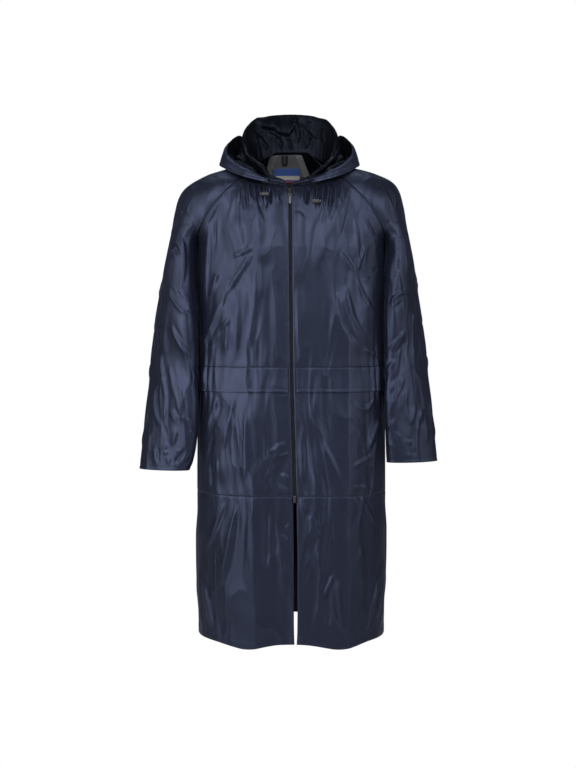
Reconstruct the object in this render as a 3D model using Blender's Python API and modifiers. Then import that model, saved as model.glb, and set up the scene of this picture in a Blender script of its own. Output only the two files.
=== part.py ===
"""Long hooded raincoat with raglan sleeves, hood worn down, standing open and hollow.

Metres, +Z up. X runs to the wearer's left, -Y is the coat's front. The origin
is the middle of the neck opening, where the shoulders of a wearer carry it.
Each cut-and-sewn piece is one closed wall of cloth, GAP apart at its seams.

Places on the coat's surface are given by a level and a share. A level below
zero is a drop in metres under the armpit; from 0 to 1 it climbs the raglan
seam from the armpit to the neckline. A share runs across a piece, from the
coat's centre line to its side or raglan seam.
"""
import math
from collections import namedtuple

import bmesh
import bpy
from mathutils import Matrix, Vector

MM = 0.001
RIGHT, LEFT = -1, 1                     # the wearer's sides, as the sign of X
SIDE_NAME = {RIGHT: "right", LEFT: "left"}

# Driving sizes
WALL = 1.5 * MM                         # coat and sleeve cloth
HOOD_WALL = 1.2 * MM
TRIM_WALL = 1.0 * MM                    # lining, label, tape and loop
GAP = 0.3 * MM                          # between neighbouring pieces
ARMPIT_Z = -0.200
WAIST_SEAM_Z = -0.473
LOWER_SEAM_Z = -0.762
HEM_Z = -1.090
HEM_DROOP = 0.012                       # how much lower the hem hangs at a press crease
DROOP_X, DROOP_WIDTH, DROOP_TOP_Z = 0.105, 0.050, -0.900
FLAP_HEIGHT = 0.056
ZIP_END_Z = -0.768
SLIDER_Z = -0.083
CREASE_HEIGHT = 0.007
CREASE_WIDTH = 0.050
GATHERS = {True: 6, False: 4}           # on each half of the front and of the back
GATHER_DEPTH = 0.0028
GATHER_REACH = 0.070                    # how far the gathers fade above and below the waist seam
GATHER_START, GATHER_END = 0.46, 0.96   # shares between which the waist is gathered
ARM_OUT = {RIGHT: 0.015, LEFT: 0.001}    # the right sleeve is held further out at the shoulder
ARM_DROP = {RIGHT: 0.018, LEFT: 0.0}    # and hangs lower

Body = namedtuple("Body", "z half_width front back")
BODY = [
    Body(-1.110, 0.2165, 0.169, 0.166),
    Body(-0.950, 0.2195, 0.167, 0.163),
    Body(-0.762, 0.2205, 0.161, 0.158),
    Body(-0.600, 0.2200, 0.152, 0.150),
    Body(-0.473, 0.2190, 0.145, 0.145),
    Body(-0.350, 0.2190, 0.143, 0.143),
    Body(-0.200, 0.2180, 0.134, 0.136),
]
BODY_SQUARENESS = 2.7                   # 2 is an ellipse
NECK_SQUARENESS = 2.1

# The raglan seams, the shoulder ridge and the centre lines, from armpit to neckline
Point = namedtuple("Point", "level x y z")
FRONT_RAGLAN = [
    Point(0.00, 0.2180, 0.000, -0.200),
    Point(0.12, 0.2170, -0.046, -0.180),
    Point(0.30, 0.2095, -0.080, -0.155),
    Point(0.50, 0.1876, -0.099, -0.118),
    Point(0.65, 0.1620, -0.099, -0.082),
    Point(0.80, 0.1310, -0.084, -0.051),
    Point(0.90, 0.1090, -0.058, -0.034),
    Point(1.00, 0.0860, -0.022, -0.020),
]
BACK_RAGLAN = [
    Point(0.00, 0.2180, 0.000, -0.200),
    Point(0.12, 0.2170, 0.048, -0.178),
    Point(0.30, 0.2080, 0.083, -0.150),
    Point(0.50, 0.1820, 0.106, -0.108),
    Point(0.65, 0.1500, 0.113, -0.066),
    Point(0.80, 0.1100, 0.110, -0.026),
    Point(0.90, 0.0760, 0.096, 0.006),
    Point(1.00, 0.0390, 0.072, 0.040),
]
SHOULDER_RIDGE = [
    Point(0.00, 0.2800, -0.001, -0.200),
    Point(0.12, 0.2755, 0.000, -0.178),
    Point(0.30, 0.2705, 0.000, -0.148),
    Point(0.50, 0.2635, 0.000, -0.100),
    Point(0.65, 0.2450, 0.002, -0.050),
    Point(0.80, 0.1980, 0.004, -0.022),
    Point(0.90, 0.1500, 0.005, -0.008),
    Point(1.00, 0.0900, 0.006, 0.004),
]
CENTRE_FRONT = [
    Point(0.00, 0.0, -0.134, -0.200),
    Point(0.30, 0.0, -0.127, -0.156),
    Point(0.50, 0.0, -0.119, -0.128),
    Point(0.65, 0.0, -0.110, -0.103),
    Point(0.80, 0.0, -0.099, -0.081),
    Point(0.90, 0.0, -0.088, -0.067),
    Point(1.00, 0.0, -0.076, -0.055),
]
CENTRE_BACK = [
    Point(0.00, 0.0, 0.136, -0.200),
    Point(0.30, 0.0, 0.134, -0.142),
    Point(0.50, 0.0, 0.131, -0.100),
    Point(0.65, 0.0, 0.125, -0.058),
    Point(0.80, 0.0, 0.114, -0.018),
    Point(0.90, 0.0, 0.097, 0.014),
    Point(1.00, 0.0, 0.074, 0.041),
]
ARM_DEPTH = 0.085                       # half the sleeve's depth at the armpit
GIRTH = 0.40                            # round the sleeve
SEAM_CLEAR = 0.7 * MM                   # the sleeve's seam edges stand this far outside the body's
SIDE_SHARE = 0.00006                    # of a panel's width, kept back from its side seam
SEAM_SHARE = 0.0025                     # and kept back from its raglan seam
RAGLAN_SHARE = 0.0035                   # of a sleeve's girth, kept back from its raglan seams
CUFF_LEVEL = -0.492
FLAP_START = {RIGHT: 0.001, LEFT: 0.011}    # the flaps' front ends, from the middle
FLAP_LIFT = 2 * MM                      # of a flap's free edge off the cloth
COLLECTION = "hooded raincoat"
CUTTERS = "cutters"

# The front edges either side of the zip; the gaps are from the zip's line
Edge = namedtuple("Edge", "z zip_x right_gap left_gap")
FRONT_EDGE = [
    Edge(-1.110, 0.0090, 0.0012, 0.0012),
    Edge(-1.060, 0.0092, 0.0034, 0.0038),
    Edge(-0.900, 0.0090, 0.0042, 0.0042),
    Edge(-0.768, 0.0074, 0.0038, 0.0038),
    Edge(-0.480, 0.0006, 0.0038, 0.0038),
    Edge(-0.110, -0.0027, 0.0038, 0.0038),
    Edge(-0.090, -0.0028, 0.0038, 0.0038),
    Edge(-0.050, -0.0055, 0.0080, 0.0080),
]

# Sleeve rings under the armpit. The flattened tube turns as it goes down, so
# that it faces sideways at the armpit and forwards at the cuff.
Ring = namedtuple("Ring", "level x y long_half short_half turn")
SLEEVE = {
    RIGHT: [
        Ring(-0.492, 0.2930, -0.066, 0.0625, 0.0300, 68.0),
        Ring(-0.470, 0.2880, -0.064, 0.0673, 0.0310, 65.0),
        Ring(-0.420, 0.2812, -0.060, 0.0735, 0.0330, 58.0),
        Ring(-0.350, 0.2775, -0.053, 0.0765, 0.0360, 50.0),
        Ring(-0.279, 0.2722, -0.045, 0.0764, 0.0380, 41.0),
        Ring(-0.189, 0.2678, -0.034, 0.0828, 0.0400, 29.0),
        Ring(-0.126, 0.2648, -0.022, 0.0878, 0.0420, 21.0),
        Ring(-0.043, 0.2552, -0.006, 0.0850, 0.0341, 9.0),
        Ring(0.000, 0.24925, -0.001, 0.0850, 0.03075, 2.0),
    ],
    LEFT: [
        Ring(-0.492, 0.2785, -0.066, 0.0636, 0.0300, 68.0),
        Ring(-0.420, 0.2742, -0.060, 0.0665, 0.0310, 58.0),
        Ring(-0.350, 0.2710, -0.053, 0.0684, 0.0330, 50.0),
        Ring(-0.279, 0.2655, -0.045, 0.0671, 0.0340, 41.0),
        Ring(-0.189, 0.2602, -0.034, 0.0725, 0.0335, 29.0),
        Ring(-0.126, 0.2567, -0.022, 0.0807, 0.0330, 21.0),
        Ring(-0.043, 0.2535, -0.006, 0.0830, 0.0323, 9.0),
        Ring(0.000, 0.24925, -0.001, 0.0850, 0.03075, 2.0),
    ],
}

# The hood as it lies: from the neck seam it stands up to a ridge, falls into a
# trough and rises to its outer rim, where its face edge is turned out and down.
# One row for each direction from straight back, in degrees; r is the distance
# from the neck's axis.
Hood = namedtuple("Hood", "angle ridge_r ridge_z trough_r trough_z rim_r rim_z hem_r hem_z")
HOOD = [
    Hood(-30, 0.100, 0.129, 0.166, -0.105, 0.181, 0.078, 0.200, 0.036),
    Hood(0, 0.095, 0.132, 0.160, -0.145, 0.186, 0.074, 0.206, 0.030),
    Hood(30, 0.100, 0.129, 0.166, -0.105, 0.181, 0.078, 0.200, 0.036),
    Hood(41, 0.1065, 0.124, 0.171, -0.046, 0.172, 0.083, 0.191, 0.037),
    Hood(52, 0.113, 0.117, 0.156, 0.000, 0.160, 0.084, 0.179, 0.036),
    Hood(70, 0.116, 0.084, 0.138, 0.016, 0.152, 0.065, 0.172, 0.018),
    Hood(84, 0.109, 0.050, 0.130, 0.012, 0.151, 0.045, 0.168, 0.004),
    Hood(104, 0.099, 0.014, 0.120, 0.000, 0.1475, 0.014, 0.161, -0.012),
    Hood(118, 0.094, -0.003, 0.111, -0.018, 0.1330, -0.010, 0.146, -0.028),
    Hood(130, 0.091, -0.013, 0.103, -0.030, 0.1170, -0.024, 0.129, -0.040),
    Hood(141, 0.0875, -0.024, 0.094, -0.040, 0.0990, -0.038, 0.106, -0.048),
    Hood(152, 0.0850, -0.034, 0.0885, -0.047, 0.0920, -0.043, 0.096, -0.052),
    Hood(176, 0.0800, -0.050, 0.0828, -0.056, 0.0856, -0.051, 0.090, -0.056),
]
HOOD_LEAN = {RIGHT: 1.02, LEFT: 0.97}   # the hood lies a little to the wearer's right
# Directions of the hood's columns; two of them run up from the raglan seams' ends
HOOD_COLUMNS = [0.09, 10, 20, 28.44, 35, 42, 49, 57, 66, 76, 86, 94, 99.5, 104.35, 118, 131, 145, 159]
HOOD_END = {RIGHT: 170.0, LEFT: 177.8}  # direction of the hood's ends at the front edges
HOOD_SEAM_GAP = 0.9 * MM
HOOD_BEND = 0.010                       # how softly the hanging bag turns at its lowest line
HOOD_PATH = [0, 0.45, 0.9, 1.3, 1.65, 2, 2.4, 2.8, 3.3, 3.7, 4, 4.3, 4.7, 5.3, 6]
CASING_END = 147.0
CASING_STANDOFF = 3.0 * MM              # from the hood's outer side to the turned-out edge

# Inside the neck
MESH_TOP = 0.98                         # level, just under the neck seam
LABEL_LEVELS = (0.725, 0.875)
LABEL_X = (-0.043, 0.021)
LOOP_X, LOOP_TOP, LOOP_LENGTH = -0.016, 0.982, 0.029
LOOP_RADIUS, LOOP_TAPE = 0.0062, 0.0036
LEVEL_PER_METRE = 2.8                   # down the back from the neck seam

# Zip
ZIP_HALF_OPEN = 3.8 * MM                # the front edges' gap from the zip's line where it is closed
TEETH_HALF_GAP, TEETH_WIDTH = 0.15 * MM, 2.8 * MM
TEETH_HEIGHT = 1.6 * MM                 # over the tape
TAPE_WIDTH = 15 * MM
SLIDER_SIZE = (9.0 * MM, 4.0 * MM, 10.0 * MM)
SLIDER_OFF = 0.5 * MM
BRIDGE_WIDTH, BRIDGE_BAR, BRIDGE_HALF, BRIDGE_ROOM = 1.8 * MM, 1.1 * MM, 3.8 * MM, 2.4 * MM
TAB_SIZE = (6.0 * MM, 1.2 * MM, 24.5 * MM)
TAB_BAR = 1.2 * MM                      # the tab's top edge, inside the bridge
TAB_EYE = (3.2 * MM, 4.0 * MM, 5.2 * MM)
TAB_LEAN = math.radians(5)              # at rest the tab's lower end leans in towards the zip
BOTTOM_BOX_Z = -0.7675
BOTTOM_BOX = (5.6 * MM, 4.0 * MM, 14.5 * MM)

# Drawcord: inner radius, outer radius and thickness of an eyelet, then the route
# of each free end from its eyelet down over the chest
EYELET = (1.9 * MM, 3.8 * MM, 1.4 * MM)
CORD_RADIUS = 1.4 * MM
LOCK_HOLE = 1.9 * MM
LOCK_AT = 5                             # the route's point at the middle of the cord lock
CORD_ROUTE = {
    RIGHT: [
        (-0.0612, -0.0835, -0.0490), (-0.0614, -0.0870, -0.0500), (-0.0619, -0.0925, -0.0560),
        (-0.0612, -0.0995, -0.0660), (-0.0597, -0.1060, -0.0757), (-0.0591, -0.1082, -0.0796),
        (-0.0585, -0.1104, -0.0835), (-0.0560, -0.1125, -0.0900), (-0.0542, -0.1150, -0.0960),
        (-0.0552, -0.1182, -0.1040), (-0.0580, -0.1210, -0.1125),
    ],
    LEFT: [
        (0.0523, -0.0835, -0.0500), (0.0525, -0.0870, -0.0510), (0.0530, -0.0925, -0.0570),
        (0.0540, -0.1000, -0.0680), (0.0550, -0.1118, -0.0905), (0.0551, -0.1148, -0.0965),
        (0.0550, -0.1176, -0.1025), (0.0546, -0.1190, -0.1070), (0.0544, -0.1200, -0.1110),
    ],
}
# Cord lock: barrel, neck and plunger as one turned outline, (radius, height)
LOCK_PROFILE = [
    (0.0 * MM, 12.5 * MM), (2.6 * MM, 12.5 * MM), (3.2 * MM, 11.8 * MM), (3.2 * MM, 8.2 * MM),
    (4.3 * MM, 7.4 * MM), (5.0 * MM, 6.4 * MM), (5.0 * MM, -6.0 * MM), (4.2 * MM, -7.0 * MM),
    (0.0 * MM, -7.0 * MM),
]

# Soft folds and drag lines on the fronts and the back: from one end to the
# other in x and z, how wide and how high.
Fold = namedtuple("Fold", "x0 z0 x1 z1 width height")
FRONT_FOLDS = [
    Fold(-0.150, -0.110, -0.070, -0.330, 0.022, 0.0060),
    Fold(-0.100, -0.080, -0.060, -0.250, 0.016, 0.0045),
    Fold(-0.190, -0.200, -0.120, -0.440, 0.024, 0.0060),
    Fold(0.115, -0.085, 0.060, -0.260, 0.018, 0.0050),
    Fold(0.165, -0.130, 0.100, -0.400, 0.024, 0.0060),
    Fold(0.185, -0.260, 0.150, -0.450, 0.020, 0.0050),
    Fold(-0.150, -0.560, -0.160, -0.740, 0.022, 0.0050),
    Fold(-0.150, -0.800, -0.140, -1.040, 0.026, 0.0060),
    Fold(0.070, -0.600, 0.060, -1.000, 0.026, 0.0045),
]
BACK_FOLDS = [
    Fold(-0.130, -0.130, -0.080, -0.400, 0.026, 0.0060),
    Fold(0.130, -0.130, 0.080, -0.400, 0.026, 0.0060),
    Fold(0.000, -0.520, 0.010, -1.000, 0.030, 0.0050),
    Fold(-0.120, -0.560, -0.130, -1.050, 0.028, 0.0060),
    Fold(0.120, -0.560, 0.130, -1.050, 0.028, 0.0060),
]
CREASES = {                             # press creases down the skirt: x at the waist and the hem
    RIGHT: Fold(-0.092, -0.520, -0.079, -1.110, CREASE_WIDTH, CREASE_HEIGHT),
    LEFT: Fold(0.128, -0.280, 0.126, -1.110, CREASE_WIDTH, CREASE_HEIGHT),
}
# Sleeve folds run from one end to the other in turn (share round the sleeve) and level
ArmFold = namedtuple("ArmFold", "turn0 level0 turn1 level1 width height")
ARM_FOLDS = [
    ArmFold(0.22, 0.20, 0.30, -0.30, 0.045, 0.0060),
    ArmFold(0.40, 0.10, 0.42, -0.24, 0.040, 0.0050),
    ArmFold(0.16, -0.20, 0.44, -0.27, 0.035, -0.0055),
    ArmFold(0.14, -0.30, 0.36, -0.40, 0.040, 0.0055),
    ArmFold(0.62, 0.10, 0.66, -0.36, 0.045, 0.0060),
    ArmFold(0.80, -0.02, 0.76, -0.30, 0.045, 0.0050),
]


# ---------------------------------------------------------------- reading sizes

def read_table(rows, at):
    """The row of a table at a value of its first column, smooth between the rows given."""
    at = min(max(at, rows[0][0]), rows[-1][0])
    place = max(i for i in range(len(rows) - 1) if rows[i][0] <= at)
    low, high = rows[place], rows[place + 1]
    before, after = rows[max(place - 1, 0)], rows[min(place + 2, len(rows) - 1)]
    step = high[0] - low[0]
    t = (at - low[0]) / step
    values = [at]
    for b, l, h, a in zip(before[1:], low[1:], high[1:], after[1:]):
        slope_low = (h - b) / (high[0] - before[0]) * step
        slope_high = (a - l) / (after[0] - low[0]) * step
        values.append(l + t * slope_low
                      + t * t * (3 * (h - l) - 2 * slope_low - slope_high)
                      + t ** 3 * (2 * (l - h) + slope_low + slope_high))
    return type(low)(*values)


def ease(t):
    """0 to 1, level at both ends."""
    t = min(max(t, 0.0), 1.0)
    return t * t * (3 - 2 * t)


def steps(start, end, count):
    return [start + (end - start) * i / count for i in range(count + 1)]


def on_line(rows, level):
    """Point on a line of the upper coat, for the wearer's left side."""
    point = read_table(rows, level)
    return Vector((point.x, point.y, point.z))


# ---------------------------------------------------------------- the coat's surface

def ridge_height(x, z, fold):
    """Height of a soft fold at a place on the cloth."""
    run = Vector((fold[2] - fold[0], fold[3] - fold[1]))
    off = Vector((x - fold[0], z - fold[1]))
    along = off.dot(run) / run.length_squared
    across = abs(off.x * run.y - off.y * run.x) / run.length
    ends = ease(4 * along) * ease(4 * (1 - along))
    return fold[5] * ends * math.exp(-(across / fold[4]) ** 2)


def crease_height(x, z, crease):
    """Height of a press crease, sharp along its line and running out through the hem."""
    down = min(max((crease.z0 - z) / (crease.z0 - crease.z1), 0.0), 1.0)
    off = abs(x - (crease.x0 + (crease.x1 - crease.x0) * down)) / crease.width
    return crease.height * ease(down * 8) * max(0.0, 1 - off)


def gather_height(front, share, z):
    """Elastic gathers at the side of the waist, as a zigzag across the cloth."""
    if not GATHER_START < share < GATHER_END:
        return 0.0
    across = (share - GATHER_START) / (GATHER_END - GATHER_START)
    wave = 1 - 2 * abs((across * GATHERS[front]) % 1 * 2 - 1)
    near = math.exp(-((z - WAIST_SEAM_Z + 0.020) / GATHER_REACH) ** 2)
    return GATHER_DEPTH * near * wave * ease(4 * across) * ease(6 * (1 - across))


def body_line(front, level):
    """Depth at the centre, its height, and the end point of the row at a level."""
    if level <= 0:
        row = read_table(BODY, ARMPIT_Z + level)
        depth = row.front if front else row.back
        return depth, row.z, Vector((row.half_width, 0, row.z)), BODY_SQUARENESS
    centre = on_line(CENTRE_FRONT if front else CENTRE_BACK, level)
    end = on_line(FRONT_RAGLAN if front else BACK_RAGLAN, level)
    square = BODY_SQUARENESS + (NECK_SQUARENESS - BODY_SQUARENESS) * ease(level)
    return abs(centre.y), centre.z, end, square


def row_shape(front, level):
    """A row's squared-off ellipse: depth, centre height, end point, squareness, half width, turn."""
    depth, centre_z, end, square = body_line(front, level)
    end_share = abs(end.y) / depth
    half_width = end.x / (1 - end_share ** square) ** (1 / square)
    turn = math.acos(end_share ** (square / 2))
    return depth, centre_z, end, square, half_width, turn


def body_surface(front, side, level, share):
    """Point on the coat's outer surface."""
    share = min(share, 1 - SIDE_SHARE - SEAM_SHARE * ease(level * 10))
    depth, centre_z, end, square, half_width, turn = row_shape(front, level)
    x = half_width * math.sin(share * turn) ** (2 / square)
    y = depth * math.cos(share * turn) ** (2 / square)
    z = centre_z + (end.z - centre_z) * share * share
    outward = Vector((x ** (square - 1) / half_width ** square,
                      y ** (square - 1) / depth ** square)).normalized()
    edge = front_edge(side, z) if front else 0.0
    across = edge + (end.x - edge) * x / end.x
    height = sum(ridge_height(side * across, z, fold) for fold in (FRONT_FOLDS if front else BACK_FOLDS))
    if front:
        height += crease_height(side * across, z, CREASES[side])
    height *= ease((1 - share) * 7) * ease((1 - level) * 6)
    height += gather_height(front, share, z)
    droop = HEM_DROOP * math.exp(-((across - DROOP_X) / DROOP_WIDTH) ** 2) * ease((DROOP_TOP_Z - z) / 0.20)
    across += outward.x * height
    y += outward.y * height
    return Vector((side * across, -y if front else y, z - droop))


def front_edge(side, z):
    """How far a front edge lies from the coat's middle, towards its own side."""
    row = read_table(FRONT_EDGE, z)
    return side * row.zip_x + (row.left_gap if side == LEFT else row.right_gap)


def share_at(front, side, level, x):
    """The share at which a row is a distance x from the middle, folds left out."""
    depth, centre_z, end, square, half_width, turn = row_shape(front, level)
    edge = front_edge(side, centre_z) if front else 0.0
    x = max(x - edge, 0.0) * end.x / (end.x - edge)
    return math.asin(min(x / half_width, 1.0) ** (square / 2)) / turn


def moved_out(surface, level, share, out):
    """A point of a surface moved along its normal; outwards is away from the coat's axis."""
    tiny = 0.002
    point = surface(level, share)
    rise = surface(level + tiny, share) - surface(level - tiny, share)
    run = surface(level, share + tiny) - surface(level, share - tiny)
    normal = rise.cross(run).normalized()
    if normal.dot(Vector((point.x, point.y, 0.05))) < 0:
        normal.negate()
    return point + normal * out


def body_point(front, side, level, share, out=0.0):
    """Point on the coat's outer surface, or moved out from it by a distance."""
    if not out:
        return body_surface(front, side, level, share)
    share = min(max(share, 0.004), 0.996)
    level = min(level, 0.996)
    return moved_out(lambda up, along: body_surface(front, side, up, along), level, share, out)


# ---------------------------------------------------------------- sleeves

def ring_point(side, level, turn):
    """Point and normal of a sleeve under the armpit, as if it were the left one."""
    ring = read_table(SLEEVE[side], level)
    lean = math.radians(ring.turn)
    angle = 2 * math.pi * turn
    outward = Vector((math.cos(lean), -math.sin(lean), 0)) * -math.cos(angle)
    forward = Vector((math.sin(lean), math.cos(lean), 0)) * -math.sin(angle)
    point = Vector((ring.x, ring.y, ARMPIT_Z + level))
    point += outward * ring.short_half + forward * ring.long_half
    return point, (outward + forward).normalized()


def shoulder_point(level, turn):
    """Point and normal of the left sleeve above the armpit, between its raglan seams."""
    before = turn <= 0.5
    facing = -1 if before else 1
    ridge = on_line(SHOULDER_RIDGE, level)
    seam = on_line(FRONT_RAGLAN if before else BACK_RAGLAN, level)
    span = Vector((ridge.x - seam.x, 0, ridge.z - seam.z))
    reach = abs(seam.y - ridge.y)
    slim = ease((level - 0.30) / 0.50)
    depth = max(reach, ARM_DEPTH * (1 - slim) + reach * slim)
    start = math.asin(min(reach / depth, 1.0))
    angle = start + (math.pi - start) * (turn if before else 1 - turn) * 2
    point = ridge - span / (1 + math.cos(start)) * (1 + math.cos(angle))
    point.y = ridge.y + facing * depth * math.sin(angle)
    normal = span.normalized() * -math.cos(angle) + Vector((0, facing * math.sin(angle), 0))
    return point, normal.normalized()


def sleeve_point(side, level, turn):
    """Point on a sleeve. Turn runs from its inner side forwards, out and back round."""
    point, normal = ring_point(side, level, turn) if level <= 0 else shoulder_point(level, turn)
    height = sum(arm_fold_height(turn, level, fold) for fold in ARM_FOLDS)
    from_inside = min(turn, 1 - turn)
    height *= ease(from_inside * 10 if level > -0.02 else (from_inside - 0.12) * 6)
    point += normal * height * ease((0.85 - level) * 5)
    hung = ease(-level / 0.14)
    free = 0.8 * ease(2 * from_inside) * (1 - ease((level - 0.55) / 0.4))
    point.x += ARM_OUT[side] * free * (1 - hung) + SEAM_CLEAR * (1 - 0.4 * ease((level - 0.75) * 4))
    point.z -= ARM_DROP[side] * (hung + (1 - hung) * free)
    point.x *= side
    return point


def arm_fold_height(turn, level, fold):
    """Height of a sleeve fold. A turn is scaled to metres by the sleeve's girth."""
    run = Vector(((fold.turn1 - fold.turn0) * GIRTH, fold.level1 - fold.level0))
    off = Vector(((turn - fold.turn0) * GIRTH, level - fold.level0))
    along = off.dot(run) / run.length_squared
    across = abs(off.x * run.y - off.y * run.x) / run.length
    return fold.height * ease(3 * along) * ease(3 * (1 - along)) * math.exp(-(across / fold.width) ** 2)


# ---------------------------------------------------------------- hood

def neckline(share):
    """Point on the left side's neckline. Share runs from centre back to the front edge."""
    back_part, front_part = 0.20, 0.60
    if share <= back_part:
        return body_point(False, LEFT, 1.0, share / back_part)
    if share >= front_part:
        return body_point(True, LEFT, 1.0, 1 - (share - front_part) / (1 - front_part))
    along = (share - back_part) / (front_part - back_part)
    return sleeve_point(LEFT, 1.0, 1 - along)


def neckline_towards(angle):
    """Point on the left side's neckline in a direction, in degrees from straight back."""
    low, high = 0.0, 1.0
    for _ in range(30):
        middle = (low + high) / 2
        point = neckline(middle)
        if math.degrees(math.atan2(point.x, point.y)) < angle:
            low = middle
        else:
            high = middle
    return point


def hood_point(side, angle, path):
    """Point on the hood. Angle is the direction from straight back, path runs from seam to rim."""
    row = read_table(HOOD, angle)
    seam = neckline_towards(angle)
    seam_r = math.hypot(seam.x, seam.y)
    seam_z = seam.z + HOOD_SEAM_GAP
    bend = HOOD_BEND * ease((row.ridge_z - row.trough_z) / 0.25)
    route = [
        Point(0, seam_r, 0, seam_z),
        Point(1, seam_r + 0.35 * (row.ridge_r - seam_r), 0, seam_z + 0.55 * (row.ridge_z - seam_z)),
        Point(2, row.ridge_r, 0, row.ridge_z),
        Point(3, row.ridge_r + 0.45 * (row.trough_r - row.ridge_r), 0,
              row.ridge_z + 0.45 * (row.trough_z - row.ridge_z)),
        Point(3.7, row.trough_r - bend, 0, row.trough_z + bend),
        Point(4, row.trough_r, 0, row.trough_z),
        Point(4.3, row.trough_r + bend, 0, row.trough_z + 0.7 * bend),
        Point(5, row.trough_r + 0.80 * (row.rim_r - row.trough_r), 0,
              row.trough_z + 0.40 * (row.rim_z - row.trough_z)),
        Point(6, row.rim_r, 0, row.rim_z),
    ]
    at = read_table(route, path)
    lean = 1 + (HOOD_LEAN[side] - 1) * ease(path / 2)
    heading = math.radians(angle)
    return Vector((side * at.x * math.sin(heading) * lean, at.x * math.cos(heading), at.z))


def casing_point(share, down):
    """Point on the turned-out face edge. Share is -1 to 1 from the right end to the left."""
    side = LEFT if share >= 0 else RIGHT
    angle = abs(share) * CASING_END
    row = read_table(HOOD, angle)
    radius = row.rim_r + CASING_STANDOFF + (row.hem_r - row.rim_r - CASING_STANDOFF) * down ** 0.8
    z = row.rim_z + 0.001 + (row.hem_z - row.rim_z) * down
    heading = math.radians(angle)
    return Vector((side * radius * math.sin(heading) * HOOD_LEAN[side], radius * math.cos(heading), z))


# ---------------------------------------------------------------- making solids

def material(name, color, roughness, metallic=0.0):
    made = bpy.data.materials.new(name)
    made.use_nodes = True
    shader = made.node_tree.nodes["Principled BSDF"]
    shader.inputs["Base Color"].default_value = (*color, 1)
    shader.inputs["Roughness"].default_value = roughness
    shader.inputs["Metallic"].default_value = metallic
    return made


def add_object(name, data, finish):
    made = bpy.data.objects.new(name, data)
    bpy.data.collections[COLLECTION].objects.link(made)
    data.materials.append(finish)
    return made


def mesh_from(name, shell):
    mesh = bpy.data.meshes.new(name)
    shell.to_mesh(mesh)
    shell.free()
    mesh.shade_smooth()
    return mesh


def cloth(name, finish, rows, columns, place, wall=WALL, ring=False, flip=False):
    """A wall of cloth over rows and columns of its outer surface, thickened inwards.

    It starts as a flat grid whose corners are moved to their places. A ring's
    first and last columns meet and are merged where they do. Flip turns a wall
    whose columns run the other way round.
    """
    shell = bmesh.new()
    across, up = len(columns) - 1, len(rows) - 1
    bmesh.ops.create_grid(shell, x_segments=across, y_segments=up, size=0.5)
    for vert in shell.verts:
        column = columns[round((vert.co.x + 0.5) * across)]
        row = rows[round((vert.co.y + 0.5) * up)]
        vert.co = place(row, column)
    if ring:
        bmesh.ops.remove_doubles(shell, verts=shell.verts, dist=0.01 * MM)
    if flip:
        bmesh.ops.reverse_faces(shell, faces=shell.faces)
    made = add_object(name, mesh_from(name, shell), finish)
    thick = made.modifiers.new("wall", "SOLIDIFY")
    thick.thickness = wall
    thick.offset = -1
    return made


def block(name, finish, middle, size, bevel, parent=None):
    """A box with rounded edges."""
    shell = bmesh.new()
    bmesh.ops.create_cube(shell, size=1, matrix=Matrix.Diagonal((*size, 1)))
    bmesh.ops.bevel(shell, geom=shell.edges[:], offset=bevel, segments=2, profile=0.5,
                    affect="EDGES", material=-1)
    made = add_object(name, mesh_from(name, shell), finish)
    made.location = middle
    made.parent = parent
    return made


def turned(name, finish, profile, parent, segments):
    """A closed profile of (radius, height), down its outer side, spun about its parent's Z."""
    shell = bmesh.new()
    corners = [shell.verts.new((radius, 0, height)) for radius, height in profile]
    for first, second in zip(corners, corners[1:] + corners[:1]):
        shell.edges.new((first, second))
    made = add_object(name, mesh_from(name, shell), finish)
    made.parent = parent
    screw = made.modifiers.new("turn", "SCREW")
    screw.steps = screw.render_steps = segments
    screw.use_merge_vertices = True
    screw.merge_threshold = 0.01 * MM
    return made


def guide(name, place, turn=(0, 0, 0)):
    """An empty that carries what is fixed at a place and tilt."""
    made = bpy.data.objects.new(name, None)
    made.location = place
    made.rotation_euler = turn
    bpy.data.collections[COLLECTION].objects.link(made)
    return made


def combine(base, other, operation):
    """Join a shape to a base, or cut it away; the shape is kept as a hidden cutter."""
    bpy.data.collections[COLLECTION].objects.unlink(other)
    bpy.data.collections[CUTTERS].objects.link(other)
    other.hide_render = True
    other.display_type = "WIRE"
    join = base.modifiers.new(other.name, "BOOLEAN")
    join.object = other
    join.operation = operation


# ---------------------------------------------------------------- coat

def body_columns(front, gathered=True):
    """Shares across half a panel: plain ones, then two to each gather."""
    side = steps(GATHER_START, GATHER_END, 2 * GATHERS[front] if gathered else 6)
    return steps(0.0, GATHER_START, 6 if front else 4)[:-1] + side + [1.0]


def back_columns(gathered=True):
    """Shares across the whole back, below zero on the wearer's right."""
    half = body_columns(False, gathered)
    return [-share for share in reversed(half[1:])] + half


def z_rows(top, bottom, count):
    """Levels under the armpit, from a bottom height to a top height."""
    return steps(bottom - ARMPIT_Z, top - ARMPIT_Z, count)


WIDTH_ROWS = {
    "upper": z_rows(ARMPIT_Z, WAIST_SEAM_Z + GAP / 2, 6)[:-1] + steps(0.0, 1.0, 8),
    "middle": z_rows(WAIST_SEAM_Z - GAP / 2, LOWER_SEAM_Z + GAP / 2, 5),
    "lower": z_rows(LOWER_SEAM_Z - GAP / 2, HEM_Z, 6),
}


def make_body(navy):
    for width, rows in WIDTH_ROWS.items():
        gathered = width != "lower"
        for side in (RIGHT, LEFT):
            cloth(f"front_{width}_{SIDE_NAME[side]}", navy, rows, body_columns(True, gathered),
                  lambda level, share: body_surface(True, side, level, share), flip=side == RIGHT)
        cloth(f"back_{width}", navy, rows, back_columns(gathered), back_surface, flip=True)


def back_surface(level, share, out=0.0):
    """Point on the whole back, with shares below zero on the wearer's right."""
    return body_point(False, LEFT if share >= 0 else RIGHT, level, abs(share), out)


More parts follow.
